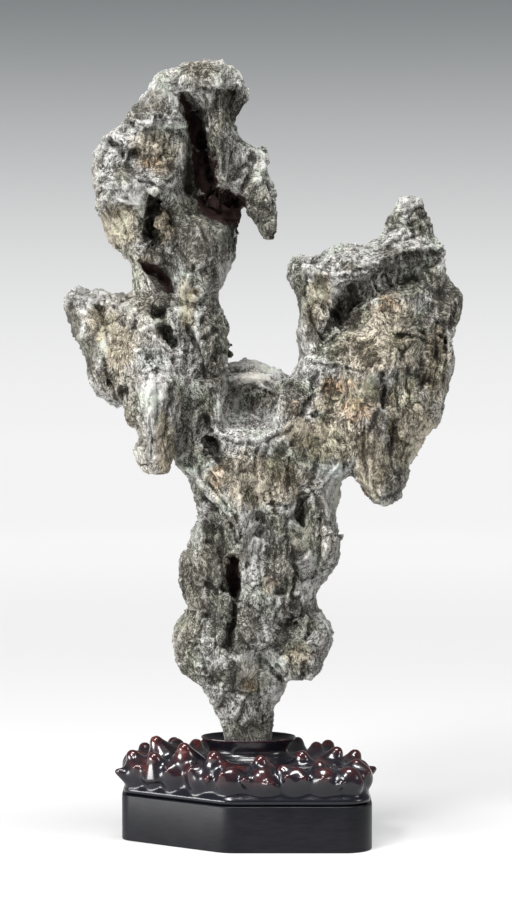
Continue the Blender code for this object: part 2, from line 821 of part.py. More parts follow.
def make_carved_stand(group, cutters):
    def block(shape):
        bridge_rings(shape, block_rings())
        for x, y, height in LOWER_KNOBS:
            add_knob(shape, (x, y, height), LOWER_KNOB)
            add_knob(shape, (-x, -y, height), LOWER_KNOB)
        for tip in UPPER_KNOBS:
            add_knob(shape, tip, UPPER_KNOB)

    raw = add_guide("block", mesh_from("block", block), cutters)
    add_remesh(raw, BLOCK_VOXEL)
    add_smooth(raw, BLOCK_SMOOTHING)
    fused = evaluated_mesh(raw, "carved_stand")
    stand = add_object("carved_stand", fused, group)
    add_decimate(stand, fused, STAND_TRIANGLES)
    add_boolean(stand, "join_collar", "UNION", make_collar(cutters))
    add_boolean(stand, "cut_socket", "DIFFERENCE", make_socket(cutters))
    fused.materials.append(material("red_brown_lacquer", (0.03, 0.008, 0.008), 0.15))
    return stand


def main():
    for old in list(bpy.data.objects):
        bpy.data.objects.remove(old)
    scene = bpy.context.scene.collection
    rock = collection("scholars_rock", scene)
    cutters = collection("cutters", scene)
    make_plinth(rock)
    make_carved_stand(rock, cutters)
    make_stone(rock, cutters)


main()
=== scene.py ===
"""Looks of a scholar's rock: a weathered grey stone on a lacquered stand, carved as a rocky shore.

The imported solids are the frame. The stone is worked up from its solid, and the carved stand and the
plinth are made again at the same sizes, finer. Sizes are in millimetres unless a name says otherwise.
"""

import math

import bmesh
import bpy
import numpy as np
from mathutils import Matrix, Vector, noise
from mathutils.bvhtree import BVHTree


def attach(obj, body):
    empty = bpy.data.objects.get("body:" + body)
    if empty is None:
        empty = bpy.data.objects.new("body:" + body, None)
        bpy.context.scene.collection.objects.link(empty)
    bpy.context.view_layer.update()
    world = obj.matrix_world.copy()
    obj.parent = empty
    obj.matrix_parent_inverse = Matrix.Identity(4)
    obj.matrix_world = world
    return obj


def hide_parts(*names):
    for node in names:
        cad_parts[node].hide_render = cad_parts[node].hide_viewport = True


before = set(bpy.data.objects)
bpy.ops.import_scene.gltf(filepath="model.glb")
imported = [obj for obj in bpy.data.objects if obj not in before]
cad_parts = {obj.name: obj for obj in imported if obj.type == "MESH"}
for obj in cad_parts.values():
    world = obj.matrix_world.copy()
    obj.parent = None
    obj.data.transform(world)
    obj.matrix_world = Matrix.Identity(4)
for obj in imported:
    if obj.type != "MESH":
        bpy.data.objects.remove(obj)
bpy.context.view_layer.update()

MM = 0.001

NOISE_SEED = 5
noise.seed_set(NOISE_SEED)  # the noise that bends points takes its offsets from this

# --- Where the stone is looked at from, for marks drawn on its front -----------------------------
EYE = np.array((6.4, -2000.0, 375.0))
EYE_PITCH = -3.576
LENS = 124.7
SENSOR = 36.0

# --- Stone: mesh and weathering -------------------------------------------------------------------
BLANK_VOXEL = 1.25
BLANK_SMOOTHING = 4
STONE_TRIANGLES = 196000
PLAIN_FOOT = (66.0, 76.0)
WARP_SHIFT = 7.3
CHIP_SPREAD = 3.7  # parts the chips' leans, which are read on a lattice
CHIPS = (  # the height of their faces, their size, and where they are read
    (5.2, (12.0, 12.0, 15.0), 0.0),
    (1.5, (5.5, 5.5, 6.5), 4.6),
    (0.95, (3.2, 3.2, 4.0), 2.9),
)
CHIP_LIMIT = 7.0
PLANE_HEIGHT = 7.0
GULLY_DEPTH = 4.5
BED_HEIGHT = 11.0
CREASE_GAIN = 1.3
RIDGE_GAIN = 1.2
LEDGE_GAIN = 1.5
HOLLOW_DEPTH = 0.7  # from crest to hollow, near by
DIP_DEPTH = 5.0  # the same over a wide reach
SKIN_SHIFT = 3.7
SKY_RAYS = 10
SKY_REACH = 40.0

# --- Stand: the same sizes as its solids ----------------------------------------------------------
PLINTH_HEIGHT = 29.5
PLINTH_EDGE = 0.8
PLINTH_CORNERS = (  # x, y and corner radius of the six-sided plan
    (-13, -50, 22),
    (80, -50, 18),
    (80, 4, 12),
    (13, 50, 22),
    (-80, 50, 18),
    (-80, -4, 12),
)
GAP = 0.3
COLLAR_X = 1.5
COLLAR_RADIUS = 30.5
COLLAR_DEPTH = 0.68  # front to back, over its width
COLLAR_NECK = 25.2
COLLAR_RIM = 67.0
DISH_FLOOR = 62.8
SOCKET_FLOOR = 52.0
SOCKET_PLAY = 0.6

BLOCK_FOOT = PLINTH_HEIGHT + GAP
# The carved block's flank: height above its foot, then how far it lies inside the plinth's plan.
FLANK = (
    (0, 2.6),
    (0.8, 1.3),
    (2.8, 0.9),
    (4.8, 2.0),
    (6.7, 4.4),
    (10, 5.4),
    (15, 6.0),
    (18, 8.0),
    (21, 12.0),
)
# Its top: height above its foot, then how far the plan has turned into the oval round the collar.
CROWN = ((23.7, 0.35), (24.2, 0.7), (23.7, 1.0))
CROWN_RADIUS = 34
BLOCK_VOXEL = 0.95
STAND_TRIANGLES = 150000
VALLEY_DEPTH = 2.0
RED_HEIGHTS = (38, 56)  # where the red begins and where it is full
COLLAR_DARKENING = 0.6

# Knobs: where each tip stands. Those of the lower row are repeated on the back, turned half round.
LOWER_KNOBS = (
    (-84.5, -6, 45.5),
    (-73, -13, 49),
    (-63, -18, 46),
    (-50.5, -27, 49),
    (-36, -37, 51),
    (-25, -44, 47),
    (-16, -49, 50),
    (-2, -52, 47),
    (13, -53, 45),
    (25, -51, 49),
    (36, -51, 48),
    (49, -52, 48),
    (61, -51, 45),
    (74, -47, 44),
    (79.5, -31, 49),
    (81, -14, 45),
)
UPPER_KNOBS = (
    (-75, -1, 58),
    (-60, -18, 59),
    (-60, 6, 66),
    (-46, 19, 62.5),
    (-40, -21, 65.5),
    (-32, 28, 61),
    (-21, -36, 62.5),
    (8.5, -40, 60.5),
    (23, -43, 55),
    (35, -28, 61.5),
    (47, -40, 57),
    (46, 6, 62.5),
    (54, 18, 62),
    (60, -12, 62),
    (72, -26, 56),
    (72, 2, 58),
    (-68, 38, 57),
    (-48, 42, 60),
    (-26, 42, 59),
    (-2, 41, 62),
    (18, 38, 60),
    (34, 30, 62),
)
LOWER_KNOB = {"root": 7.2, "tip": 2.6, "reach": 11, "drop": 4}
UPPER_KNOB = {"root": 12.5, "tip": 4.6, "reach": 7, "drop": 14}
KNOB_SPINE = ((-40, 12), (40, -12))  # the knobs lean away from this line

# Bellies under the lower row: the middle of each, at the edge of the plan, and its half width.
LOBES = (
    (-77, -8, 7.5),
    (-64, -18, 7.5),
    (-48.5, -28, 8.5),
    (-32, -39, 8.0),
    (-13, -49.5, 9.5),
    (7, -51, 9.5),
    (29, -51, 10.0),
    (51, -51, 10.0),
    (71, -47, 9.0),
    (80.5, -29, 9.0),
    (80.5, -9, 9.0),
)
LOBE_MIDDLE = 44.0
LOBE_HALF_HEIGHT = 10.0
LOBE_BACK = 8.0
LOBE_INSET = 1.0
FILLET_ROUNDS = 30
BEAD_TOP = 36.0

FOOT = (-14.5, 16.5, -13.5, 14)
SECTION_POINTS = 56
SECTION_POWER = 2.5

# --- Studio, in metres ----------------------------------------------------------------------------
SWEEP_RADIUS = 6.0
SWEEP_CURVE = 1.6
SWEEP_WALL = 3.2
SWEEP_GREYING = (-0.05, 1.27)
AIR_STRENGTH = 0.16
LIGHTS = {
    "key": {"place": (-0.95, -1.5, 2.05), "target": (0, 0, 0.3), "size": (0.6, 0.6), "power": 55},
    "overhead": {"place": (0.1, -0.4, 2.2), "target": (0, 0, 0.2), "size": (1.0, 0.7), "power": 52},
    "side": {"place": (-1.42, -0.80, 0.22), "target": (0, 0, 0.06), "size": (1.1, 0.4), "power": 30},
    "fill": {"place": (1.9, -0.7, 0.8), "target": (0, 0, 0.25), "size": (0.5, 0.5), "power": 9},
}


MIDDLE = (0.5, 0.5, 0.5)  # of a colour that is read as a vector


class Wire:
    """A shader socket. Arithmetic on it adds Math nodes."""

    def __init__(self, finish, socket):
        self.finish = finish
        self.socket = socket

    def _math(self, operation, *values):
        return self.finish.node("ShaderNodeMath", {"operation": operation}, dict(enumerate(values)), 0)

    def __add__(self, other):
        return self._math("ADD", self, other)

    __radd__ = __add__

    def __sub__(self, other):
        return self._math("SUBTRACT", self, other)

    def __rsub__(self, other):
        return self._math("SUBTRACT", other, self)

    def __mul__(self, other):
        return self._math("MULTIPLY", self, other)

    __rmul__ = __mul__

    def __abs__(self):
        return self._math("ABSOLUTE", self)

    def clamped(self):
        return self._math("MAXIMUM", self._math("MINIMUM", self, 1.0), 0.0)

    def step(self, start, end):
        """0 below start, 1 above end and smooth between them."""
        ranged = {"interpolation_type": "SMOOTHSTEP"}
        return self.finish.node("ShaderNodeMapRange", ranged, {"Value": self, 1: start, 2: end}, 0)


class Finish:
    """A material, and the one way in which its nodes are added."""

    def __init__(self, name):
        self.material = bpy.data.materials.new(name)
        self.material.use_nodes = True
        self.tree = self.material.node_tree
        self.tree.nodes.clear()

    def node(self, kind, settings, inputs, output):
        made = self.tree.nodes.new(kind)
        for name, value in settings.items():
            setattr(made, name, value)
        for key, value in inputs.items():
            if isinstance(value, Wire):
                self.tree.links.new(value.socket, made.inputs[key])
            else:
                made.inputs[key].default_value = value
        return Wire(self, made.outputs[output])

    def place(self):
        return self.node("ShaderNodeTexCoord", {}, {}, "Object")

    def attribute(self, name):
        return self.node("ShaderNodeAttribute", {"attribute_name": name}, {}, "Fac")

    def vectors(self, operation, first, second, output=0):
        return self.node("ShaderNodeVectorMath", {"operation": operation}, {0: first, 1: second}, output)

    def stretched(self, vector, scale):
        return self.vectors("MULTIPLY", vector, scale)

    def cloud(self, vector, size, detail=4.0, roughness=0.6, warp=0.0):
        """A noise whose lumps are about size metres across."""
        inputs = {"Vector": vector, "Scale": 1 / size, "Detail": detail}
        inputs.update({"Roughness": roughness, "Distortion": warp})
        return self.node("ShaderNodeTexNoise", {}, inputs, "Fac")

    def bent(self, vector, size, reach):
        """The vector pushed about by up to half a reach, so that lines read there bend."""
        inputs = {"Vector": vector, "Scale": 1 / size, "Detail": 2.0}
        push = self.node("ShaderNodeTexNoise", {}, inputs, "Color")
        push = self.vectors("SUBTRACT", push, MIDDLE)
        return self.vectors("ADD", vector, self.stretched(push, (reach, reach, reach)))

    def chips(self, vector, size):
        """Flat chips about size across: a tone for each, and its tilted face's height in metres."""
        inputs = {"Vector": vector, "Scale": 1 / size}
        tint = self.node("ShaderNodeTexVoronoi", {}, inputs, "Color")
        middle = self.node("ShaderNodeTexVoronoi", {}, inputs, "Position")
        offset = self.vectors("SUBTRACT", vector, middle)
        lean = self.vectors("SUBTRACT", tint, MIDDLE)
        height = self.vectors("DOT_PRODUCT", offset, lean, "Value")
        tone = self.node("ShaderNodeSeparateXYZ", {}, {0: tint}, "X")
        return tone, height

    def mix(self, first, second, share, way="MIX"):
        """Blends two colours."""
        settings = {"data_type": "RGBA", "blend_type": way}
        return self.node("ShaderNodeMix", settings, {0: share, 6: first, 7: second}, 2)

    def bump(self, height, distance):
        return self.node("ShaderNodeBump", {}, {"Height": height, "Distance": distance}, 0)

    def shade(self, inputs):
        """Closes the material with a Principled shader."""
        surface = self.node("ShaderNodeBsdfPrincipled", {}, inputs, 0)
        sheet = self.tree.nodes.new("ShaderNodeOutputMaterial")
        self.tree.links.new(surface.socket, sheet.inputs["Surface"])
        return self.material


# --- Finishes -------------------------------------------------------------------------------------
def weathered_stone():
    """Grey limestone, speckled and streaky: crests lighter and hollows darker, partly wear and dirt and
    partly painted highlight and shade; painted light and shade in patches; dark red-brown in the clefts.
    """
    finish = Finish("weathered_stone")
    place = finish.place()
    bent = finish.bent(place, 0.022, 0.018)
    lengthwise = finish.stretched(bent, (1.0, 1.0, 0.34))
    level_beds = finish.stretched(bent, (0.35, 0.5, 1.0))
    upward = finish.attribute("upward").step(0.1, 0.5)
    rough = 1 - finish.attribute("polish") * 0.4
    grit = finish.cloud(place, 0.0007, 1.0, 0.8).step(0.36, 0.64)
    flecks = finish.cloud(lengthwise, 0.0008, 2.0, 0.8) * (1 - upward)
    flecks = (flecks + finish.cloud(level_beds, 0.0008, 2.0, 0.8) * upward).step(0.36, 0.64)
    threads = 1 - abs(finish.cloud(lengthwise, 0.0034, 3.0, 0.6, 0.5) - 0.5).step(0.0, 0.026)
    streaks = finish.cloud(lengthwise, 0.0030, 4.0, 0.6, 0.4)
    blotches = finish.cloud(place, 0.021, 4.0, 0.6, 0.3)
    fields = finish.cloud(finish.stretched(place, (1.0, 1.0, 0.6)), 0.052, 3.0, 0.5)
    fissures = abs(finish.cloud(lengthwise, 0.0060, 4.0, 0.6, 0.8) - 0.5).step(0.0, 0.020)
    seams = 1 - abs(finish.cloud(bent, 0.0055, 4.0, 0.6, 0.6) - 0.5).step(0.0, 0.020)
    chip_tone, chip_tilt = finish.chips(finish.stretched(bent, (1.0, 1.0, 0.7)), 0.0042)
    flake_tone, flake_tilt = finish.chips(finish.stretched(bent, (1.0, 1.0, 0.7)), 0.0016)
    hollow = finish.attribute("hollow")
    dip = finish.attribute("dip")
    occlusion_shade = finish.attribute("occlusion_shade")
    pale_tone_and_painted_light = finish.attribute("pale_tone_and_painted_light")

    level = (
        0.42
        + (grit - 0.5) * 0.50 * rough
        + (flecks - 0.5) * 1.30 * rough
        + (streaks - 0.5) * 0.38
        + (chip_tone - 0.5) * 0.22
        + (flake_tone - 0.5) * 0.50 * rough
        + (blotches - 0.5) * 1.0
        # crests lighter and hollows darker: partly worn edges and dirt, partly painted highlight on the
        # crests and painted shade in the hollows
        + (0.5 - hollow) * 0.66
        # painted shade: darker in broad hollows
        + (0.5 - dip) * 0.5
        + (fissures - 1) * 0.42
        + (seams + threads) * 0.32
        # painted light: surfaces that face up are made lighter, as if lit from above
        + upward * 0.12
        # painted light: lighter patches where the front is lit, with some lighter stone; a lighter tone in
        # random patches on the back
        + pale_tone_and_painted_light * 0.62
        # painted shade: darker patches where the front lies in shade, a darker tone in random patches on the
        # back
        - finish.attribute("dark_tone_and_painted_shade") * 0.66
    )
    skin = finish.mix((0.050, 0.046, 0.040, 1), (0.25, 0.242, 0.222, 1), level.step(-0.35, 0.55))
    skin = finish.mix(skin, (0.60, 0.595, 0.575, 1), level.step(0.50, 1.35))
    tan = (finish.attribute("tan") * 0.9 + fields.step(0.5, 0.75) * 0.5).clamped()
    skin = finish.mix(skin, (1.02, 0.915, 0.745, 1), tan, "MULTIPLY")
    skin = finish.mix(skin, (0.94, 1.0, 0.93, 1), blotches.step(0.5, 0.62), "MULTIPLY")
    rust = finish.attribute("rust") * streaks.step(0.35, 0.6)
    skin = finish.mix(skin, (1.05, 0.84, 0.70, 1), rust, "MULTIPLY")
    skin = finish.mix(skin, (0.90, 0.95, 0.95, 1), finish.attribute("slate"), "MULTIPLY")
    # the same painted shade and darker tone, tinted brown
    skin = finish.mix(skin, (0.74, 0.725, 0.67, 1), finish.attribute("dark_tone_and_painted_shade"), "MULTIPLY")
    # painted shade: darker where the stone hides much of the open sky from a point, except under the patches
    # of painted light
    skin = finish.mix(skin, (0.66, 0.63, 0.58, 1), occlusion_shade.step(0.4, 1.0) * (1 - pale_tone_and_painted_light), "MULTIPLY")
    # dark red-brown in the clefts, full where they are also hidden from the sky
    deep = (finish.attribute("cave") * (occlusion_shade + 0.5)).step(0.35, 0.6)
    skin = finish.mix(skin, (0.030, 0.013, 0.011, 1), deep)

    relief = (
        grit * 0.03
        + flecks * 0.07
        + streaks * 0.28
        + chip_tilt * 280
        + flake_tilt * 180
        + fissures * 0.16
        + (seams + threads) * 0.07
    )
    return finish.shade({
        "Base Color": skin,
        "Roughness": 0.80 - level * 0.1,
        "Specular IOR Level": 0.3,
        "Normal": finish.bump(relief * rough, 0.0032),
    })


def red_brown_lacquer():
    """Polished lacquer: nearly black in the valleys, worn back to red on the crests."""
    finish = Finish("red_brown_lacquer")
    place = finish.place()
    grain = finish.cloud(finish.stretched(place, (0.3, 1.0, 1.0)), 0.0016, 4.0, 0.6)
    clouds = finish.cloud(place, 0.014, 3.0, 0.55)
    crest = (0.5 - finish.attribute("hollow")).step(0.0, 0.25)
    height = finish.attribute("upper")
    worn = (crest * 0.6 + clouds.step(0.45, 0.75) * 0.6) * height
    coat = finish.mix((0.006, 0.006, 0.010, 1), (0.055, 0.009, 0.008, 1), worn.clamped())
    bare = (worn * clouds.step(0.52, 0.66) * grain.step(0.4, 0.6)).clamped()
    coat = finish.mix(coat, (0.115, 0.023, 0.018, 1), bare)
    return finish.shade({
        "Base Color": coat,
        "Roughness": 0.20 - crest * 0.06 + clouds * 0.10,
        "Specular IOR Level": 0.42,
        "Coat Weight": height * 0.75,
        "Coat Roughness": 0.08,
        "Normal": finish.bump(grain, 0.00005),
    })


def blue_black_lacquer():
    """The plinth's satin lacquer, with a fine grain and faint rubbing."""
    finish = Finish("blue_black_lacquer")
    place = finish.place()
    grain = finish.cloud(finish.stretched(place, (0.12, 0.12, 1.0)), 0.0011, 4.0, 0.6)
    rub = finish.cloud(place, 0.022, 4.0, 0.6)
    worn = (grain * 0.6 + rub * 0.5).step(0.3, 0.8)
    coat = finish.mix((0.0025, 0.0028, 0.005, 1), (0.010, 0.010, 0.013, 1), worn)
    return finish.shade({
        "Base Color": coat,
        "Roughness": 0.28 + rub * 0.18,
        "Specular IOR Level": 0.20,
        "Normal": finish.bump(grain, 0.00004),
    })


def studio_paper():
    """Glowing softly: white low down and round the stand, grey above, to the sides and before it."""
    finish = Finish("studio_paper")
    place = finish.place()
    height = finish.node("ShaderNodeSeparateXYZ", {}, {0: place}, "Z")
    depth = finish.node("ShaderNodeSeparateXYZ", {}, {0: place}, "Y")
    breadth = finish.node("ShaderNodeSeparateXYZ", {}, {0: place}, "X")
    reach = finish.node("ShaderNodeVectorMath", {"operation": "LENGTH"}, {0: place}, "Value")
    glow = finish.mix((0.87, 0.87, 0.87, 1), (0.125, 0.140, 0.148, 1), height.step(*SWEEP_GREYING))
    glow = finish.mix(glow, (0.10, 0.10, 0.10, 1), (0 - depth).step(1.0, 4.0))
    glow = finish.mix(glow, (0.20, 0.20, 0.20, 1), abs(breadth).step(1.0, 4.0))
    glow = finish.mix((0.38, 0.38, 0.38, 1), glow, reach.step(0.4, 2.2))
    return finish.shade({
        "Base Color": finish.mix((0.39, 0.39, 0.39, 1), (0.05, 0.05, 0.05, 1), reach.step(0.4, 2.6)),
        "Emission Color": glow,
        "Emission Strength": 1.0,
        "Roughness": 0.9,
        "Specular IOR Level": 0.2,
    })


# --- Meshes ---------------------------------------------------------------------------------------
def add_object(name, data):
    made = bpy.data.objects.new(name, data)
    bpy.context.scene.collection.objects.link(made)
    return made


def mesh_from(name, build):
    shape = bmesh.new()
    build(shape)
    bmesh.ops.recalc_face_normals(shape, faces=shape.faces)
    made = bpy.data.meshes.new(name)
    shape.to_mesh(made)
    shape.free()
    return made


def evaluated_mesh(source, name):
    """The mesh that an object's modifiers make, as a mesh of its own. The object is removed."""
    graph = bpy.context.evaluated_depsgraph_get()
    made = bpy.data.meshes.new_from_object(source.evaluated_get(graph))
    made.name = name
    bpy.data.objects.remove(source)
    return made


def add_remesh(target, voxel):
    remesh = target.modifiers.new("fuse", "REMESH")
    remesh.mode = "VOXEL"
    remesh.voxel_size = voxel * MM


def add_smooth(target, iterations):
    soften = target.modifiers.new("soften", "SMOOTH")
    soften.factor = 0.5
    soften.iterations = iterations


def add_boolean(target, operation, other):
    cut = target.modifiers.new(operation.lower(), "BOOLEAN")
    cut.operation = operation
    cut.solver = "MANIFOLD"
    cut.object = other


def thinned(mesh, triangles):
    """The mesh brought down to a number of triangles, most of them kept where it is sharp."""
    whole = sum(len(face.vertices) - 2 for face in mesh.polygons)
    holder = add_object(mesh.name, mesh)
    thin = holder.modifiers.new("thin_out", "DECIMATE")
    thin.ratio = min(1.0, triangles / whole)
    return evaluated_mesh(holder, mesh.name)


def read_points(mesh):
    points = np.empty(len(mesh.vertices) * 3, np.float32)
    mesh.vertices.foreach_get("co", points)
    return points.reshape(-1, 3).astype(np.float64) / MM


def read_normals(mesh):
    normals = np.empty(len(mesh.vertices) * 3, np.float32)
    mesh.vertex_normals.foreach_get("vector", normals)
    return normals.reshape(-1, 3).astype(np.float64)


def write_points(mesh, points):
    mesh.vertices.foreach_set("co", (points * MM).astype(np.float32).ravel())
    mesh.update()


def read_edges(mesh):
    edges = np.empty(len(mesh.edges) * 2, np.int32)
    mesh.edges.foreach_get("vertices", edges)
    return edges.reshape(-1, 2)


def write_values(mesh, name, values):
    """Stores one value a vertex, for the finish to read."""
    mesh.attributes.new(name, "FLOAT", "POINT").data.foreach_set("value", values.astype(np.float32))


def averaged(values, edges, rounds):
    """Each vertex's values averaged with its neighbours', so many times over."""
    first, second = edges.T
    size = len(values)
    share = 1 / (1 + np.bincount(edges.ravel(), minlength=size))
    for _ in range(rounds):
        total = [
            np.bincount(first, column[second], size) + np.bincount(second, column[first], size)
            for column in values.T
        ]
        values = (values + np.array(total).T) * share[:, None]
    return values


def hollowness(mesh, rounds):
    """How far each vertex lies below the surface round it, in millimetres: crests are negative."""
    points = read_points(mesh)
    return ((averaged(points, read_edges(mesh), rounds) - points) * read_normals(mesh)).sum(axis=1)


def fade_in(values, start, end):
    """0 below start, 1 above end and smooth between them."""
    share = np.clip((values - start) / (end - start), 0, 1)
    return share * share * (3 - 2 * share)


# --- Marks on the stone ---------------------------------------------------------------------------
def drawn(points):
    """Where each point falls on the front elevation, as x and z, seen from the eye."""
    eye = EYE[[0, 2]]
    return eye + (points[:, [0, 2]] - eye) * (-EYE[1] / (points[:, 1] - EYE[1]))[:, None]


def from_path(places, path):
    """How far each place lies from a path, and on which side: positive is above a path that runs right."""
    nearest = np.full(len(places), np.inf)
    side = np.ones(len(places))
    for start, end in zip(np.array(path[:-1], float), np.array(path[1:], float)):
        run = end - start
        offset = places - start
        share = np.clip(offset @ run / (run @ run), 0, 1)
        distance = np.linalg.norm(offset - share[:, None] * run, axis=1)
        closer = distance < nearest
        cross = run[0] * offset[:, 1] - run[1] * offset[:, 0]
        side[closer] = np.sign(cross)[closer]
        nearest = np.minimum(nearest, distance)
    return nearest, side


def line_mark(places, half_width, path):
    """1 on the line, falling to 0 at its half width."""
    distance, _ = from_path(places, path)
    return np.clip(1 - (distance / half_width) ** 2, 0, 1) ** 1.5


def ledge_mark(places, reach, path):
    """A shelf that stands out above a line and is undercut below it."""
    distance, side = from_path(places, path)
    fade = np.clip(1 - distance / reach, 0, 1)
    return np.where(side > 0, fade**1.5, -0.9 * fade**0.7 * (fade > 0))


def spot_mark(places, x, z, across, along, tilt=0):
    """1 in the middle of an ellipse, falling to 0 at its edge. A positive tilt lowers its right end."""
    turn = math.radians(tilt)
    offset = places - (x, z)
    u = (offset[:, 0] * math.cos(turn) - offset[:, 1] * math.sin(turn)) / across
    v = (offset[:, 0] * math.sin(turn) + offset[:, 1] * math.cos(turn)) / along
    return np.clip(1 - u * u - v * v, 0, 1)


def cloud(points, size, octaves=1, shift=0.0):
    """Values from about -1 to 1, in lumps of about this size."""
    places = (points / np.array(size, float) + shift).tolist()
    if octaves == 1:
        return np.array([noise.noise(place) for place in places])
    return np.array([noise.fractal(place, 0.9, 2.1, octaves) for place in places])


def crest(points, size, octaves):
    """Sharp crests with broken sides: about 1 on average, up to 2 on a crest."""
    places = (points / np.array(size, float)).tolist()
    return np.array([noise.ridged_multi_fractal(place, 0.95, 2.2, octaves, 1.0, 2.0) for place in places])


def warped(points, size, reach):
    """The points pushed about, so that what is read there loses its straightness."""
    moved = [noise.noise_vector(place) for place in (points / size + WARP_SHIFT).tolist()]
    return points + np.array(moved) * reach


def nearest_seed(points, size):
    """Distance to the nearest of a scatter of seeds about a size apart, in sizes."""
    places = (points / np.array(size, float)).tolist()
    return np.array([noise.voronoi(place)[0][0] for place in places])


def facets(points, size, shift=0.0):
    """Flat chips about a size across, each tilted its own way, with a step where two meet."""
    heights = []
    for place in (points / np.array(size, float) + shift).tolist():
        middle = noise.voronoi(place)[1][0]
        lean = noise.cell_vector(middle * CHIP_SPREAD) - Vector(MIDDLE)
        heights.append(lean.dot(Vector(place) - middle))
    return np.array(heights)


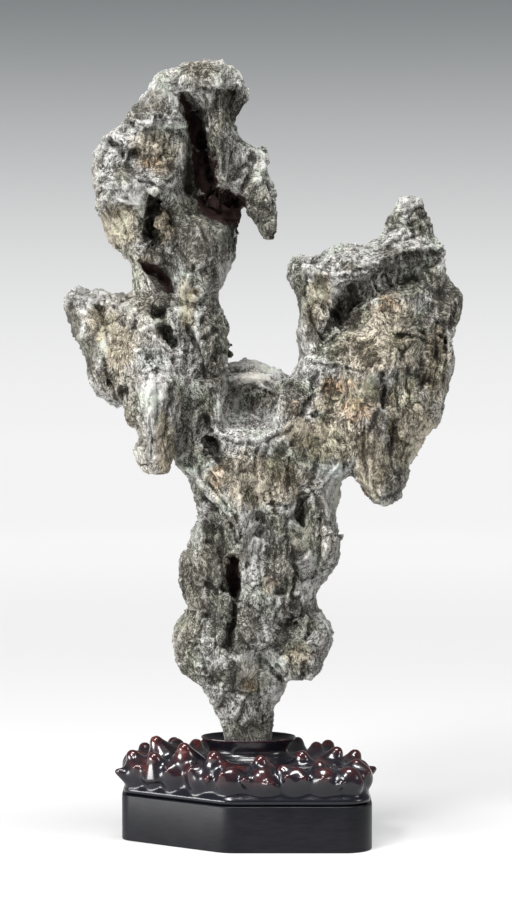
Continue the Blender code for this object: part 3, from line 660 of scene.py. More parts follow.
# Marks on the front, in millimetres on the front elevation. A crease or ridge: half width, depth, path.
CREASES = (
    # head
    (4.5, 8.0, ((-28, 452), (-23, 440), (-21, 428), (-17, 417), (-8, 409))),
    (1.4, 1.6, ((-40.7, 493), (-43.8, 486))),
    (1.8, 2.0, ((-41.7, 480), (-37.7, 472), (-31.5, 467))),
    (1.6, 1.6, ((3.2, 433), (1.1, 424), (-2.9, 416), (-7, 412))),
    (1.4, 1.3, ((-12, 446), (-9, 440), (-10, 434))),
    (1.5, 1.5, ((-71, 426), (-66, 424), (-60, 421))),
    (1.6, 1.6, ((-86, 447), (-79, 443), (-77, 434))),
    (1.8, 1.4, ((-75, 436), (-70, 443), (-67, 441))),
    (1.3, 1.2, ((-18, 478), (-19, 468), (-17, 458))),
    (1.3, 1.2, ((-13, 479), (-14, 470), (-13, 461))),
    (1.3, 1.1, ((-8, 480), (-10, 470), (-9, 462))),
    (1.4, 1.2, ((-27, 478), (-25, 470), (-22, 462))),
    (1.4, 1.5, ((-33, 368), (-34, 358), (-29, 348))),
    (1.6, 1.4, ((-37, 404), (-31, 396), (-25, 385))),
    (1.4, 1.2, ((-30, 408), (-24, 398), (-19, 390))),
    (2.2, 2.4, ((-68, 372), (-62, 366), (-54, 362), (-46, 353))),
    (1.8, 2.2, ((-52.5, 382), (-52, 372), (-50, 360))),
    (1.2, 1.0, ((-47, 452), (-50, 444), (-55, 436))),
    (1.2, 1.0, ((-58, 452), (-60, 442), (-66, 434))),
    (1.2, 1.0, ((-90, 410), (-86, 398), (-80, 388), (-76, 378))),
    (1.2, 0.9, ((-82, 404), (-78, 394), (-73, 384))),
    # left wing and leg
    (1.4, 1.8, ((-94, 344), (-90.6, 336), (-89.6, 328), (-88.6, 319))),
    (1.6, 2.2, ((-70.5, 333), (-73.9, 324), (-77.6, 317))),
    (1.6, 1.6, ((-79, 347), (-83, 342))),
    (1.7, 2.2, ((-37.7, 331), (-32.8, 321), (-28.8, 311), (-26.9, 299))),
    (1.3, 1.4, ((-42, 322), (-38, 312), (-37, 300))),
    (2.6, 2.6, ((-52, 328), (-48, 322), (-44.5, 316))),
    (1.6, 1.8, ((-87, 295), (-84, 287), (-80, 280))),
    (1.5, 1.8, ((-91, 309), (-89, 300), (-88, 292))),
    (1.8, 2.0, ((-76.5, 291), (-73, 284), (-69.5, 274))),
    (1.3, 1.3, ((-73, 292), (-69, 282), (-66.5, 273))),
    (1.2, 1.0, ((-52, 282), (-51, 268), (-52, 255), (-50, 243))),
    (1.2, 1.0, ((-57, 300), (-56, 286), (-57, 270))),
    (1.2, 1.0, ((-62, 268), (-60, 256), (-61, 246))),
    (3.0, 3.2, ((-25.5, 272), (-21.5, 260), (-18, 249))),
    (1.4, 2.4, ((-19, 253), (-16.6, 241))),
    # crossing on the upper trunk
    (1.7, 2.2, ((-36, 233), (-26, 219.6), (-15, 210), (-8.8, 201), (-5.8, 192))),
    (1.5, 1.8, ((-9, 213), (-6, 205), (-3, 196))),
    (1.3, 1.2, ((-24, 241), (-20, 231), (-15, 224))),
    (2.2, 2.4, ((34, 222), (35, 213), (36, 203))),
    (1.4, 1.4, ((48, 230), (41, 224), (33, 213), (26, 203))),
    (1.5, 1.5, ((47, 206), (48, 193), (47, 181), (43, 166))),
    (1.2, 1.1, ((55, 205), (56, 192), (53, 180))),
    (1.2, 1.1, ((18, 240), (16, 226), (18, 214), (16, 202))),
    (1.2, 1.1, ((28, 246), (26, 234), (27, 224))),
    (1.3, 1.3, ((8, 252), (5, 240), (7, 231))),
    (1.3, 1.2, ((-40.5, 186), (-41, 172), (-38.5, 155))),
    (1.2, 1.1, ((-35, 190), (-36, 176), (-34, 160))),
    (1.2, 1.1, ((20, 190), (18, 176), (20, 160), (17, 148))),
    (1.2, 1.1, ((10, 192), (8, 178), (10, 164))),
    (1.2, 1.1, ((30, 186), (32, 172), (29, 158))),
    (1.8, 2.0, ((-7.5, 158), (-7, 148), (-8.5, 137), (-11, 126))),
    # lower trunk
    (1.8, 2.2, ((8.6, 118), (18, 108.7), (24, 102))),
    (1.4, 1.4, ((17.9, 116.5), (25.5, 106))),
    (1.4, 1.4, ((24, 150), (32, 140), (40, 133))),
    (1.2, 1.0, ((-30, 122), (-26, 110), (-20, 100))),
    (1.2, 1.0, ((-6, 112), (-8, 98), (-6, 86))),
    (1.2, 1.0, ((8, 100), (9, 88), (12, 76))),
    # right wing
    (1.6, 1.8, ((39, 349), (42, 334), (50, 322))),
    (1.4, 1.6, ((38, 366), (39, 358), (37, 350))),
    (1.5, 1.8, ((45.5, 301), (42, 287), (35.5, 274))),
    (1.4, 1.4, ((36, 288), (44, 286))),
    (1.3, 1.3, ((35, 274), (54, 271.5), (69, 269))),
    (1.6, 2.0, ((87.6, 300), (88.3, 290), (88, 279))),
    (1.4, 1.4, ((91, 270), (92.5, 253), (95, 236))),
    (1.4, 1.3, ((76, 266), (75, 250), (78, 232), (78, 221))),
    (1.5, 1.8, ((129.5, 351), (132.5, 340), (130.8, 329), (131, 318))),
    (1.4, 1.5, ((121.5, 336), (121.5, 323), (122.8, 306), (119, 286))),
    (1.4, 1.4, ((127, 330), (128, 314), (127, 298))),
    (1.3, 1.3, ((112, 306), (113.5, 296), (110, 284), (112, 270))),
    (1.3, 1.2, ((104, 306), (103, 292), (105, 280))),
    (1.3, 1.2, ((97, 304), (96, 290), (98, 276))),
    (1.4, 1.3, ((82, 371), (81, 362), (84, 354))),
    (1.4, 1.3, ((90, 373), (89, 364), (93, 356))),
    (1.4, 1.3, ((97, 376), (98, 366), (96, 358))),
    (1.4, 1.2, ((106, 378), (107, 368), (110, 360))),
    (1.4, 1.2, ((116, 376), (116, 366), (119, 358))),
    (1.4, 1.5, ((106, 404), (104, 396), (107, 388))),
    (1.2, 1.1, ((53, 300), (56, 290), (53, 280))),
    (1.2, 1.1, ((62, 298), (65, 288), (61, 277))),
    (1.2, 1.1, ((48, 366), (46, 352), (51, 338))),
)
RIDGES = (
    (1.8, 1.4, ((-45, 428), (-54, 423), (-59, 419), (-63, 416.5))),
    (1.6, 1.2, ((-53, 405), (-49, 390), (-46, 377))),
    (1.6, 1.2, ((-36, 364), (-40, 352), (-38, 338))),
    (1.5, 1.2, ((-87.6, 341), (-87.6, 329), (-85.7, 318))),
    (1.6, 1.4, ((-75, 336), (-70, 331), (-66, 326))),
    (1.5, 1.3, ((-33, 330), (-28.5, 320), (-25.5, 309))),
    (2.0, 1.6, ((-45, 243), (-33, 236.5), (-27, 227.5), (-15, 217), (-9, 208), (-3, 198))),
    (1.8, 1.4, ((-7, 245), (-5, 231), (-4, 215), (-1.5, 201), (-4, 188))),
    (1.6, 1.2, ((-12, 203), (-4.5, 187))),
    (1.8, 1.3, ((60, 243), (47, 228), (38, 224), (28, 213), (22, 201))),
    (1.6, 1.3, ((-23, 274), (-18.5, 262), (-13, 254))),
    (1.6, 1.2, ((-80, 301), (-77, 290), (-77, 276))),
    (1.5, 1.1, ((-48, 296), (-47, 282), (-49, 262))),
    (1.6, 1.2, ((80, 262), (79, 244), (82, 224))),
    (1.5, 1.1, ((117, 330), (117, 312), (115, 290))),
    (1.5, 1.1, ((125, 326), (125.5, 308), (123, 292))),
    (1.6, 1.2, ((50, 320), (62, 330), (78, 345), (92, 351))),
    (1.5, 1.0, ((-47, 184), (-45, 170), (-43, 156))),
    (1.6, 1.1, ((-2, 182), (-1.5, 168), (-3, 154))),
)
# A shelf's front edge: how far it reaches to each side, how far it stands out, path.
LEDGES = (
    (5.0, 1.8, ((-52, 484), (-41.7, 485), (-31.5, 486), (-22.3, 484), (-16, 481.5), (-4, 482))),
    (3.5, 1.2, ((-66, 464.5), (-54, 464), (-43, 462))),
    (4.0, 1.6, ((-72, 459), (-57, 457), (-46, 457), (-38, 458))),
    (4.5, 1.8, ((-88, 449), (-78, 447.5), (-72, 443), (-66, 440))),
    (4.5, 1.8, ((-94, 417), (-82.6, 419), (-72.4, 418), (-61, 416.5))),
    (4.0, 1.6, ((-84, 412), (-76, 408), (-66, 407.5))),
    (4.0, 1.4, ((-115, 349.5), (-106, 349), (-99, 345.5), (-92, 343.5), (-85, 343.5))),
    (3.0, 0.6, ((-72, 303.5), (-66, 301), (-58, 304), (-50, 302))),
    (5.0, 2.0, ((-14, 303), (-3, 302.5), (6, 306), (18, 300), (27, 295))),
    (3.0, 1.1, ((-10, 291), (2, 294), (14, 290), (22, 286))),
    (4.0, 1.5, ((-19, 262), (-7, 256.5), (9, 256.5), (28, 266))),
    (4.5, 1.8, ((47, 363), (59, 361), (71, 366), (86, 370.5), (100, 376), (108, 379), (126, 380))),
    (3.0, 1.1, ((72, 376), (84, 379), (96, 386), (108, 389))),
    (3.0, 1.1, ((89, 391), (98, 394), (108, 398.5))),
    (3.0, 1.1, ((99, 403), (107, 405), (114, 408))),
    (3.5, 1.3, ((45, 308), (60.5, 305.5), (74, 302.5))),
    (3.5, 1.2, ((94, 327), (104, 326), (114, 322))),
    (3.5, 1.2, ((28, 374), (36, 372), (46, 374))),
    (3.0, 1.0, ((-5, 450), (0, 446), (6, 447), (14, 443))),
    (3.5, 1.1, ((-44, 145), (-36, 148), (-24, 147))),
    (3.0, 1.0, ((-28, 100), (-16, 96), (-4, 97), (8, 94))),
    (3.5, 1.3, ((-62, 385), (-56, 378), (-48, 376))),
)
# Pits and knobs: x, z, half width, half height, tilt, depth.
PITS = (
    (-24.4, 480.6, 4.0, 2.6, 5, 3.0),
    (4.0, 436.5, 3.0, 3.6, 10, 2.8),
    (-70, 401, 4.5, 4.0, -30, 2.4),
    (-70, 444.5, 4.5, 2.8, 20, 1.8),
    (-90, 430, 3.0, 2.4, 0, 1.6),
    (-66, 423, 3.6, 2.2, 20, 1.5),
    (-56, 337, 6.0, 3.4, 8, 3.2),
    (-48.5, 321, 4.0, 5.5, -35, 2.6),
    (-70, 351, 2.6, 2.2, 0, 1.8),
    (-61, 310.5, 3.4, 3.0, 0, 1.6),
    (-55, 313, 2.4, 2.2, 0, 1.3),
    (-66, 304.5, 2.8, 2.0, 0, 1.2),
    (-73, 283, 4.0, 6.0, -20, 1.8),
    (-28, 345, 3.2, 3.0, 0, 1.7),
    (-22, 338, 2.6, 3.0, 0, 1.6),
    (-28, 333, 2.4, 3.0, 0, 1.5),
    (-20, 348, 2.4, 2.4, 0, 1.4),
    (-33, 352, 2.6, 3.2, 0, 1.5),
    (-20, 328, 3.0, 3.4, 0, 1.7),
    (-25, 322, 2.4, 3.0, 0, 1.4),
    (-21, 310, 2.6, 3.6, 0, 1.4),
    (4, 267.5, 8.5, 3.6, -3, 2.6),
    (5, 219.6, 3.2, 4.0, 10, 1.8),
    (9.5, 208, 3.0, 4.5, -10, 2.0),
    (9.8, 198, 2.2, 3.4, 0, 1.5),
    (52, 178, 3.2, 3.2, 0, 1.5),
    (-37, 131, 4.0, 4.5, 0, 1.6),
    (-37, 113, 3.0, 3.2, 0, 1.2),
    (30, 140, 6.5, 5.0, -30, 2.0),
    (37, 128, 3.0, 3.4, 0, 1.3),
    (44, 136, 3.4, 2.2, -10, 1.5),
    (-36, 155, 3.0, 3.0, 0, 1.2),
    (117, 340, 3.4, 5.5, 0, 1.6),
    (121.5, 377, 4.2, 2.4, 0, 2.4),
    (117, 297, 2.6, 3.8, 10, 1.6),
    (102, 257, 3.6, 5.5, 15, 1.0),
    (94, 247, 3.0, 7.0, 0, 0.9),
    (40, 283, 3.0, 5.5, 35, 1.6),
    (43.5, 297, 2.2, 4.0, 12, 1.0),
    (-95, 300, 3.0, 3.0, 0, 1.4),
    (-90, 306, 2.6, 2.4, 0, 1.2),
    (-35, 244, 5.0, 5.0, 0, 1.8),
    (-3, 128, 3.0, 6.0, 0, 1.4),
    (112, 391, 3.0, 5.0, 0, 1.6),
)
KNOBS = (
    (-57, 402, 7.0, 18.0, 0, 7.0),
    (62, 346, 9.0, 12.0, -35, 5.0),
    (96, 258, 6.0, 12.0, 0, 3.5),
    (-56, 337, 6.0, 3.4, 8, 2.0),
    (-53, 416, 4.6, 4.2, 0, 2.6),
    (-86.7, 435.5, 5.5, 5.0, 0, 1.8),
    (-93.5, 440, 3.5, 3.5, 0, 1.4),
    (-73.5, 464, 3.5, 3.8, 0, 1.2),
    (-13.2, 328, 3.4, 3.0, 0, 1.6),
    (-14.6, 319, 5.4, 5.0, 0, 2.2),
    (-24, 328, 2.6, 3.0, 0, 1.2),
    (-30, 338, 2.4, 2.8, 0, 1.2),
    (-17, 341, 2.8, 2.8, 0, 1.3),
    (-73, 271, 5.5, 8.0, -10, 1.6),
    (9, 225, 3.4, 3.8, 0, 1.6),
    (9.5, 194.5, 3.6, 3.4, 0, 1.5),
    (80, 291, 6.5, 11.0, 5, 2.2),
    (105, 318, 9.0, 7.5, 0, 1.6),
    (112, 278.5, 4.5, 4.0, -20, 1.8),
    (124, 366, 5.0, 4.0, 0, 1.2),
    (131, 322, 3.4, 6.0, 0, 1.4),
    (133, 343, 3.2, 6.0, 0, 1.3),
    (32, 298, 6.0, 5.0, 0, 1.2),
    (-40, 166, 4.0, 9.0, 0, 1.0),
    (52, 193, 6.0, 12.0, 5, 1.2),
    (34, 124, 9.0, 7.0, 0, 1.2),
    (-69.5, 251, 3.0, 3.2, 0, 1.2),
)
TRENCH_FRONT = (-6.0, 0.0)  # distances before the middle over which the trenches set in
TRENCH_BANK = 0.45  # the share of the half width that slopes
# Trenches sunk straight into the front: half width, depth, path.
TRENCHES = (
    (7.0, 9.0, ((-34, 463), (-30, 452), (-27, 441), (-25.5, 429), (-21, 417), (-10, 407), (-6, 403))),
    (7.0, 6.0, ((-23, 411), (-19, 401), (-9, 398))),
    (7.0, 6.0, ((-30, 415), (-26, 405), (-16, 398))),
    (2.8, 5.0, ((-41.5, 478), (-38, 471), (-34.5, 464))),
    (6.0, 8.0, ((-7.5, 180), (-7.8, 161))),
    (4.5, 5.0, ((-10.5, 138), (-11, 125))),
    (8.5, 5.0, ((71, 354), (62, 341), (53, 323))),
    (4.5, 4.0, ((36.5, 222), (35, 207))),
    (8.0, 3.0, ((-20, 208), (-19, 190), (-18.5, 162))),
    (5.0, 3.0, ((-28, 262), (-24, 250), (-18, 241))),
)
# The saddle between the arms: its left and right, and the height above which it is lowered.
SADDLE = (-12, 26, 297)
SADDLE_LOWERING = 0.3
SADDLE_BED = 284
SADDLE_EDGE = (4, 2)  # how far its slopes reach outside and inside its ends
SADDLE_HEIGHT = 22
SADDLE_LEAN = 0.7  # how far its front leans back for each step up from its bed
SADDLE_RISE = 24  # the height above its bed over which the lean grows
SADDLE_FRONT = (-8.0, 8.0)  # distances before the middle over which the lean sets in

# Skins of another tone, some of them painted light and painted shade: x, z, half width, half height, tilt.
SKINS = {
    "tan": (
        (-57, 443, 20, 15, 10),
        (-82, 393, 17, 20, 35),
        (-52, 395, 9, 14, 10),
        (-38, 345, 7, 22, -5),
        (-93, 333, 14, 13, 30),
        (-80, 318, 11, 20, 10),
        (46, 348, 10, 22, 8),
        (88, 337, 22, 14, -15),
        (66, 284, 26, 20, 0),
        (120, 305, 12, 30, 0),
        (80, 240, 14, 28, 0),
        (84, 316, 36, 24, 0),
        (104, 268, 22, 34, 0),
        (58, 258, 34, 18, 0),
        (8, 232, 40, 22, 0),
        (34, 120, 12, 9, 0),
        (3, 100, 8, 7, 0),
        (-52, 255, 8, 26, 0),
        (40, 262, 22, 12, 0),
    ),
    # on the front, painted light on lit tops, rims and slopes together with some lighter stone; on the back,
    # random patches of a lighter tone
    "pale_tone_and_painted_light": (
        (2, 303, 26, 10, 0),
        (-10, 278, 12, 16, 0),
        (16, 285, 10, 18, 0),
        (-64, 457, 14, 7, -10),
        (57, 218, 9, 22, 0),
        (53, 145, 10, 9, 0),
        (-60, 288, 8, 14, 0),
        (8, 300, 22, 8, 0),
        (-9, 287, 6, 26, 0),
        (40, 170, 8, 20, 0),
        (8, 196, 9, 12, 0),
        (10, 226, 12, 12, 0),
        (-40, 352, 8, 8, 0),
        (-88, 352, 20, 4, 0),
        (-80, 450, 12, 5, -20),
        (-74, 417, 20, 4, 0),
        (62, 234, 8, 9, 0),
        (14, 112, 18, 10, 0),
        (20, 92, 9, 11, 0),
        (-40, 135, 9, 18, 0),
        (112, 255, 9, 24, 28),
        (-44, 484, 22, 7, 0),
        (-52, 459, 14, 5, 0),
        (-40, 345, 9, 16, 0),
        (-52, 328, 10, 8, 0),
        (-88, 322, 10, 14, 0),
        (0, 185, 12, 14, 0),
        (8, 117, 16, 8, 0),
        (50, 355, 14, 10, 0),
        (17, 275, 10, 9, 0),
        (-2, 303, 12, 8, 0),
        (-24, 479, 14, 6, 0),
        (-50, 478, 12, 5, 0),
        (-62, 455, 13, 6, -10),
        (-84, 446, 13, 5, -10),
        (-84, 302, 7, 9, 0),
        (104, 238, 5, 12, 25),
        (-72, 411, 12, 7, 0),
        (-92, 345, 18, 9, 0),
        (-36, 350, 8, 8, 0),
        (-12, 365, 6, 9, 0),
        (47, 360, 10, 6, 0),
        (90, 352, 10, 8, 0),
        (-52, 300, 6, 14, 0),
        (-42, 252, 6, 14, 0),
        (43, 251, 9, 8, 0),
        (34, 218, 7, 9, 0),
        (-9, 221, 10, 7, 0),
        (-20, 192, 7, 10, 0),
        (-36, 150, 8, 9, 0),
        (28, 99, 10, 7, 0),
    ),
    "rust": (
        (-19, 235, 7, 9, 0),
        (31, 278, 5, 8, -30),
        (90, 346, 14, 7, -20),
        (-33, 352, 4, 10, 0),
        (-58, 432, 12, 6, 10),
        (72, 277, 14, 10, 0),
        (14, 165, 7, 8, 0),
        (3, 100, 6, 4, 0),
        (-64, 370, 10, 4, 30),
        (58, 292, 12, 8, 0),
    ),
    "cave": (
        (-38, 471, 3, 9, -25),
        (-31, 452, 6, 20, -15),
        (-27, 430, 9, 22, -12),
        (-14, 410, 17, 9, 8),
        (-15, 402, 13, 8, 10),
        (-24, 407, 9, 11, -20),
        (-4, 400, 6, 9, 0),
        (-61, 367, 9, 4.5, 32),
        (-51, 358, 4.5, 10, -25),
        (-7.6, 170.5, 5.6, 14, 0),
    ),
    # painted shade on the front, under ledges and overhangs and down shaded sides; on the back, random
    # patches of a darker tone
    "dark_tone_and_painted_shade": (
        (-13, 470, 15, 15, 0),
        (-37, 424, 4, 20, 3),
        (7, 405, 12, 26, -12),
        (-57, 394, 12, 28, 0),
        (-20, 388, 18, 22, 0),
        (-22, 318, 10, 34, 0),
        (60, 338, 7, 21, 27),
        (100, 354, 28, 9, -18),
        (-30, 400, 18, 12, 0),
        (0, 402, 8, 10, 0),
        (113, 395, 7, 9, 0),
        (40, 198, 6, 14, 0),
        (-15, 180, 12, 34, 0),
        (-112, 332, 8, 16, 0),
        (-100, 308, 6, 14, 0),
        (33, 355, 7, 24, 0),
        (80, 291, 7, 12, 5),
        (120, 315, 8, 14, 0),
        (-30, 493, 16, 7, 0),
        (-50, 368, 8, 10, 0),
        (-88, 298, 9, 9, 0),
        (14, 284, 11, 8, 0),
        (-24, 390, 10, 12, 0),
        (-82, 405, 12, 6, 0),
        (92, 376, 9, 7, 0),
        (40, 140, 8, 8, 0),
        (-70, 466, 12, 8, -30),
        (-50, 396, 8, 22, 0),
        (104, 322, 12, 12, 0),
        (130, 345, 12, 20, 0),
        (94, 238, 12, 22, 0),
        (30, 284, 14, 16, 0),
        (24, 240, 14, 16, 0),
        (-30, 246, 10, 10, 0),
        (-18, 180, 15, 40, 0),
        (-38, 150, 12, 48, 0),
        (-8, 138, 20, 22, 0),
        (20, 178, 9, 28, 0),
        (-26, 280, 8, 18, 0),
        (118, 361, 9, 12, 0),
        (54, 316, 14, 9, 0),
        (32, 190, 10, 12, 0),
        (110, 332, 13, 9, 0),
        (38, 212, 8, 13, 0),
        (-36, 107, 12, 9, 0),
        (-20, 106, 10, 8, 0),
        (33, 109, 12, 7, 0),
        (2, 70, 22, 12, 0),
        (-36, 376, 10, 14, 0),
        (-50, 428, 9, 8, 0),
        (-78, 428, 9, 8, 0),
        (50, 324, 20, 6, 0),
        (112, 396, 10, 12, 0),
        (118, 298, 10, 10, 0),
        (-76, 272, 8, 9, 0),
        (-46, 286, 7, 10, 0),
        (28, 170, 9, 12, 0),
        (30, 150, 9, 9, 0),
        (38, 252, 16, 13, 0),
        (-20, 448, 8, 26, 0),
        (0, 104, 20, 14, 0),
        (92, 286, 8, 10, 0),
        (67, 369, 10, 4, 0),
        (-26, 150, 7, 8, 0),
        (-32, 222, 8, 8, 0),
        (46, 211, 5, 12, 0),
        (-60, 377, 9, 8, 0),
        (-56, 472, 7, 10, -30),
        (-10, 402, 22, 14, 0),
        (28, 130, 13, 15, 0),
        (-54, 348, 9, 14, 0),
        (55, 288, 8, 8, 0),
        (40, 336, 7, 10, 0),
        (68, 336, 7, 9, 0),
        (122, 324, 8, 12, 0),
        (84, 268, 7, 12, 0),
        (94, 398, 7, 9, 0),
        (-10, 203, 8, 9, 0),
        (28, 195, 8, 9, 0),
        (-38, 390, 10, 8, 0),
        (-36, 402, 14, 12, 0),
        (16, 392, 7, 10, 0),
        (-62, 344, 8, 10, 0),
        (-24, 362, 8, 8, 0),
        (-32, 248, 9, 11, 0),
        (-12, 243, 8, 8, 0),
        (18, 205, 10, 9, 0),
        (-5, 184, 8, 16, 0),
        (106, 374, 9, 8, 0),
        (78, 313, 10, 10, 0),
        (106, 296, 12, 10, 0),
        (76, 254, 8, 12, 0),
        (96, 250, 9, 18, 0),
        (-52, 330, 6, 9, 0),
        (-100, 318, 8, 12, 0),
    ),
    "polish": (
        (-106, 322, 14, 34, -22),
        (-60, 282, 14, 28, 0),
        (-58, 250, 12, 12, 0),
        (82, 244, 13, 28, 0),
        (80, 291, 8, 13, 5),
        (35, 328, 9, 30, 0),
        (-37, 434, 5, 34, 3),
        (-84, 396, 14, 20, 30),
        (38, 262, 20, 10, 0),
        (-20, 235, 14, 8, 20),
        (55, 232, 10, 24, 0),
        (34, 200, 12, 16, 0),
        (2, 100, 16, 14, 0),
        (6, 300, 20, 9, -20),
        (-25, 388, 20, 18, 0),
        (-60, 474, 14, 12, -30),
        (-76, 411, 18, 8, 0),
    ),
    "slate": (
        (-60, 309, 13, 9, 0),
        (-33, 243, 8, 9, -20),
        (80, 291, 7, 13, 5),
        (108, 318, 10, 8, 0),
        (-10, 134, 6, 16, 0),
        (56, 240, 14, 8, 0),
        (-12, 392, 12, 14, 0),
        (-46, 362, 10, 14, 0),
    ),
}

# How strongly each skin shows in the free patches on the back.
BACK_SHARES = {"tan": 0.9, "pale_tone_and_painted_light": 0.6, "rust": 0.5, "cave": 0, "dark_tone_and_painted_shade": 0.9, "polish": 0.8, "slate": 0.6}


def skin_cover(mesh, name):
    """How far each vertex lies inside a skin's patches, with ragged edges: free ones on the back."""
    points = read_points(mesh)
    normals = read_normals(mesh)
    places = drawn(points)
    ragged = 0.45 * cloud(points, (5.0, 5.0, 11.0), 3, 6.1)
    cover = np.max([spot_mark(places, *spot) for spot in SKINS[name]], axis=0)
    cover = fade_in(cover + ragged * (cover > 0), 0.05, 0.75)
    front = fade_in(0.3 * normals[:, 2] - normals[:, 1], -0.35, 0.05)
    shift = SKIN_SHIFT * list(SKINS).index(name)
    free = fade_in(cloud(points, (20.0, 20.0, 34.0), 3, shift), 0.06, 0.36) * BACK_SHARES[name]
    return cover * front + free * (1 - front)


def carved_blank(mesh):
    """Sinks the trenches, lowers the saddle and leans its front back."""
    points = read_points(mesh)
    places = drawn(points)
    front = fade_in(-points[:, 1], *TRENCH_FRONT)
    for half_width, depth, path in TRENCHES:
        distance, _ = from_path(places, path)
        points[:, 1] += depth * fade_in(1 - distance / half_width, 0.0, TRENCH_BANK) * front
    left, right, foot = SADDLE
    outer, inner = SADDLE_EDGE
    between = fade_in(points[:, 0], left - outer, left + inner)
    between *= 1 - fade_in(points[:, 0], right - inner, right + outer)
    over = np.maximum(points[:, 2] - foot, 0) * (points[:, 2] < foot + SADDLE_HEIGHT)
    points[:, 2] -= SADDLE_LOWERING * over * between
    rise = np.clip(points[:, 2] - SADDLE_BED, 0, SADDLE_RISE)
    points[:, 1] += SADDLE_LEAN * rise * between * fade_in(-points[:, 1], *SADDLE_FRONT)
    write_points(mesh, points)


def front_marks(mesh):
    """How far each vertex moves out or in along its normal for the marks drawn on the front."""
    places = drawn(warped(read_points(mesh), 7.0, 1.3))
    push = np.zeros(len(places))
    for half_width, depth, path in CREASES:
        push -= CREASE_GAIN * depth * line_mark(places, half_width, path)
    for half_width, height, path in RIDGES:
        push += RIDGE_GAIN * height * line_mark(places, half_width, path)
    for reach, rise, path in LEDGES:
        push += LEDGE_GAIN * rise * ledge_mark(places, reach, path)
    for *spot, depth in PITS:
        push -= depth * spot_mark(places, *spot)
    for *spot, height in KNOBS:
        push += height * spot_mark(places, *spot) ** 0.6
    return push * fade_in(-read_normals(mesh)[:, 1], 0.1, 0.5)


def weathering(mesh):
    """Lumps, broken shelves, upright furrows, cracks and pits over the whole stone."""
    points = read_points(mesh)
    _, backward, upward = read_normals(mesh).T
    flank = 1 - fade_in(np.abs(upward), 0.35, 0.8)
    bent = warped(points, 16.0, 5.5)
    facing = fade_in(np.abs(backward), 0.15, 0.6)
    planes = facets(warped(points, 30.0, 5.0), (27.0, 27.0, 40.0), 1.7)
    chips = np.zeros(len(points))
    for height, size, shift in CHIPS:
        chips += height * facets(bent, size, shift)
    chips = CHIP_LIMIT * np.tanh(chips / CHIP_LIMIT)
    lumps = cloud(points, (13.0, 13.0, 18.0), 3)
    crags = crest(bent, (9.0, 9.0, 17.0), 4)
    cracks = fade_in(0.13 - np.abs(cloud(bent, (9.0, 9.0, 17.0), shift=3.1)), 0.0, 0.13)
    flutes = np.abs(cloud(bent, (4.6, 4.6, 11.0), shift=9.7))
    beds = (points[:, 2] - 0.30 * points[:, 0] + 0.2 * points[:, 1]) / BED_HEIGHT
    beds += 1.6 * cloud(points, 19.0, 2, 2.2)
    shelf = (beds % 1.0) ** 1.6
    pits = fade_in(0.62 - nearest_seed(bent, (6.0, 6.0, 8.0)), 0.0, 0.5)
    bedded = fade_in(cloud(points, 34.0, 1, 4.4), -0.1, 0.35)
    pitted = fade_in(cloud(points, 27.0, 1, 8.8), -0.05, 0.3)
    behind = fade_in(backward, 0.0, 0.5)
    gullies = np.abs(cloud(warped(points, 30.0, 9.0), (30.0, 30.0, 62.0), 2, 5.3))
    gullies = fade_in(0.16 - gullies, 0.0, 0.16)
    push = (
        PLANE_HEIGHT * planes * facing
        - GULLY_DEPTH * gullies * behind
        + chips
        + 0.4 * lumps
        + 0.3 * (crags - 1.1)
        - flank * cracks
        + 0.3 * flank * (flutes - 0.26)
        + 0.7 * bedded * (shelf - 0.4)
        - 0.9 * pitted * pits
    )
    return push * (1 - 0.65 * skin_cover(mesh, "polish")) * fade_in(points[:, 2], *PLAIN_FOOT)


def crumbling(mesh):
    """The finest grain that the mesh can hold."""
    points = read_points(mesh)
    bent = warped(points, 6.0, 1.2)
    push = 0.24 * (crest(bent, (3.0, 3.0, 5.0), 3) - 1.0)
    return push * fade_in(points[:, 2], *PLAIN_FOOT)


def push_out(mesh, distances):
    write_points(mesh, read_points(mesh) + read_normals(mesh) * distances[:, None])


def sky_shelter(mesh):
    """The share of the open sky that the stone hides from each vertex, smoothed a little; the finish darkens
    the stone by it as painted shade.
    """
    points = read_points(mesh) * MM
    normals = read_normals(mesh)
    tree = BVHTree.FromPolygons(points.tolist(), [tuple(face.vertices) for face in mesh.polygons])
    hidden = np.zeros(len(points))
    starts = points + normals * 0.6 * MM
    for step in range(SKY_RAYS):
        turn = step * math.pi * (3 - math.sqrt(5))
        rise = (step + 0.5) / SKY_RAYS
        spread = math.sqrt(1 - rise * rise)
        # each ray leans from the vertex's own normal
        lean = np.array((spread * math.cos(turn), spread * math.sin(turn), rise))
        ways = normals + lean
        ways[(ways * normals).sum(axis=1) < 0.1] *= -1
        hidden += [
            tree.ray_cast(Vector(start), Vector(way), SKY_REACH * MM)[0] is not None
            for start, way in zip(starts.tolist(), ways.tolist())
        ]
    return averaged(hidden[:, None] / SKY_RAYS, read_edges(mesh), 3)[:, 0]


def paint_stone(mesh):
    """Stores what the finish reads: hollows at two sizes, the hidden share of sky that it turns into painted
    shade, how far each point faces up, and the skins.
    """
    write_values(mesh, "hollow", np.clip(0.5 + hollowness(mesh, 2) / HOLLOW_DEPTH, 0, 1))
    write_values(mesh, "dip", np.clip(0.5 + hollowness(mesh, 30) / DIP_DEPTH, 0, 1))
    write_values(mesh, "occlusion_shade", sky_shelter(mesh))
    write_values(mesh, "upward", np.clip(read_normals(mesh)[:, 2], 0, 1))
    for name in SKINS:
        write_values(mesh, name, skin_cover(mesh, name))


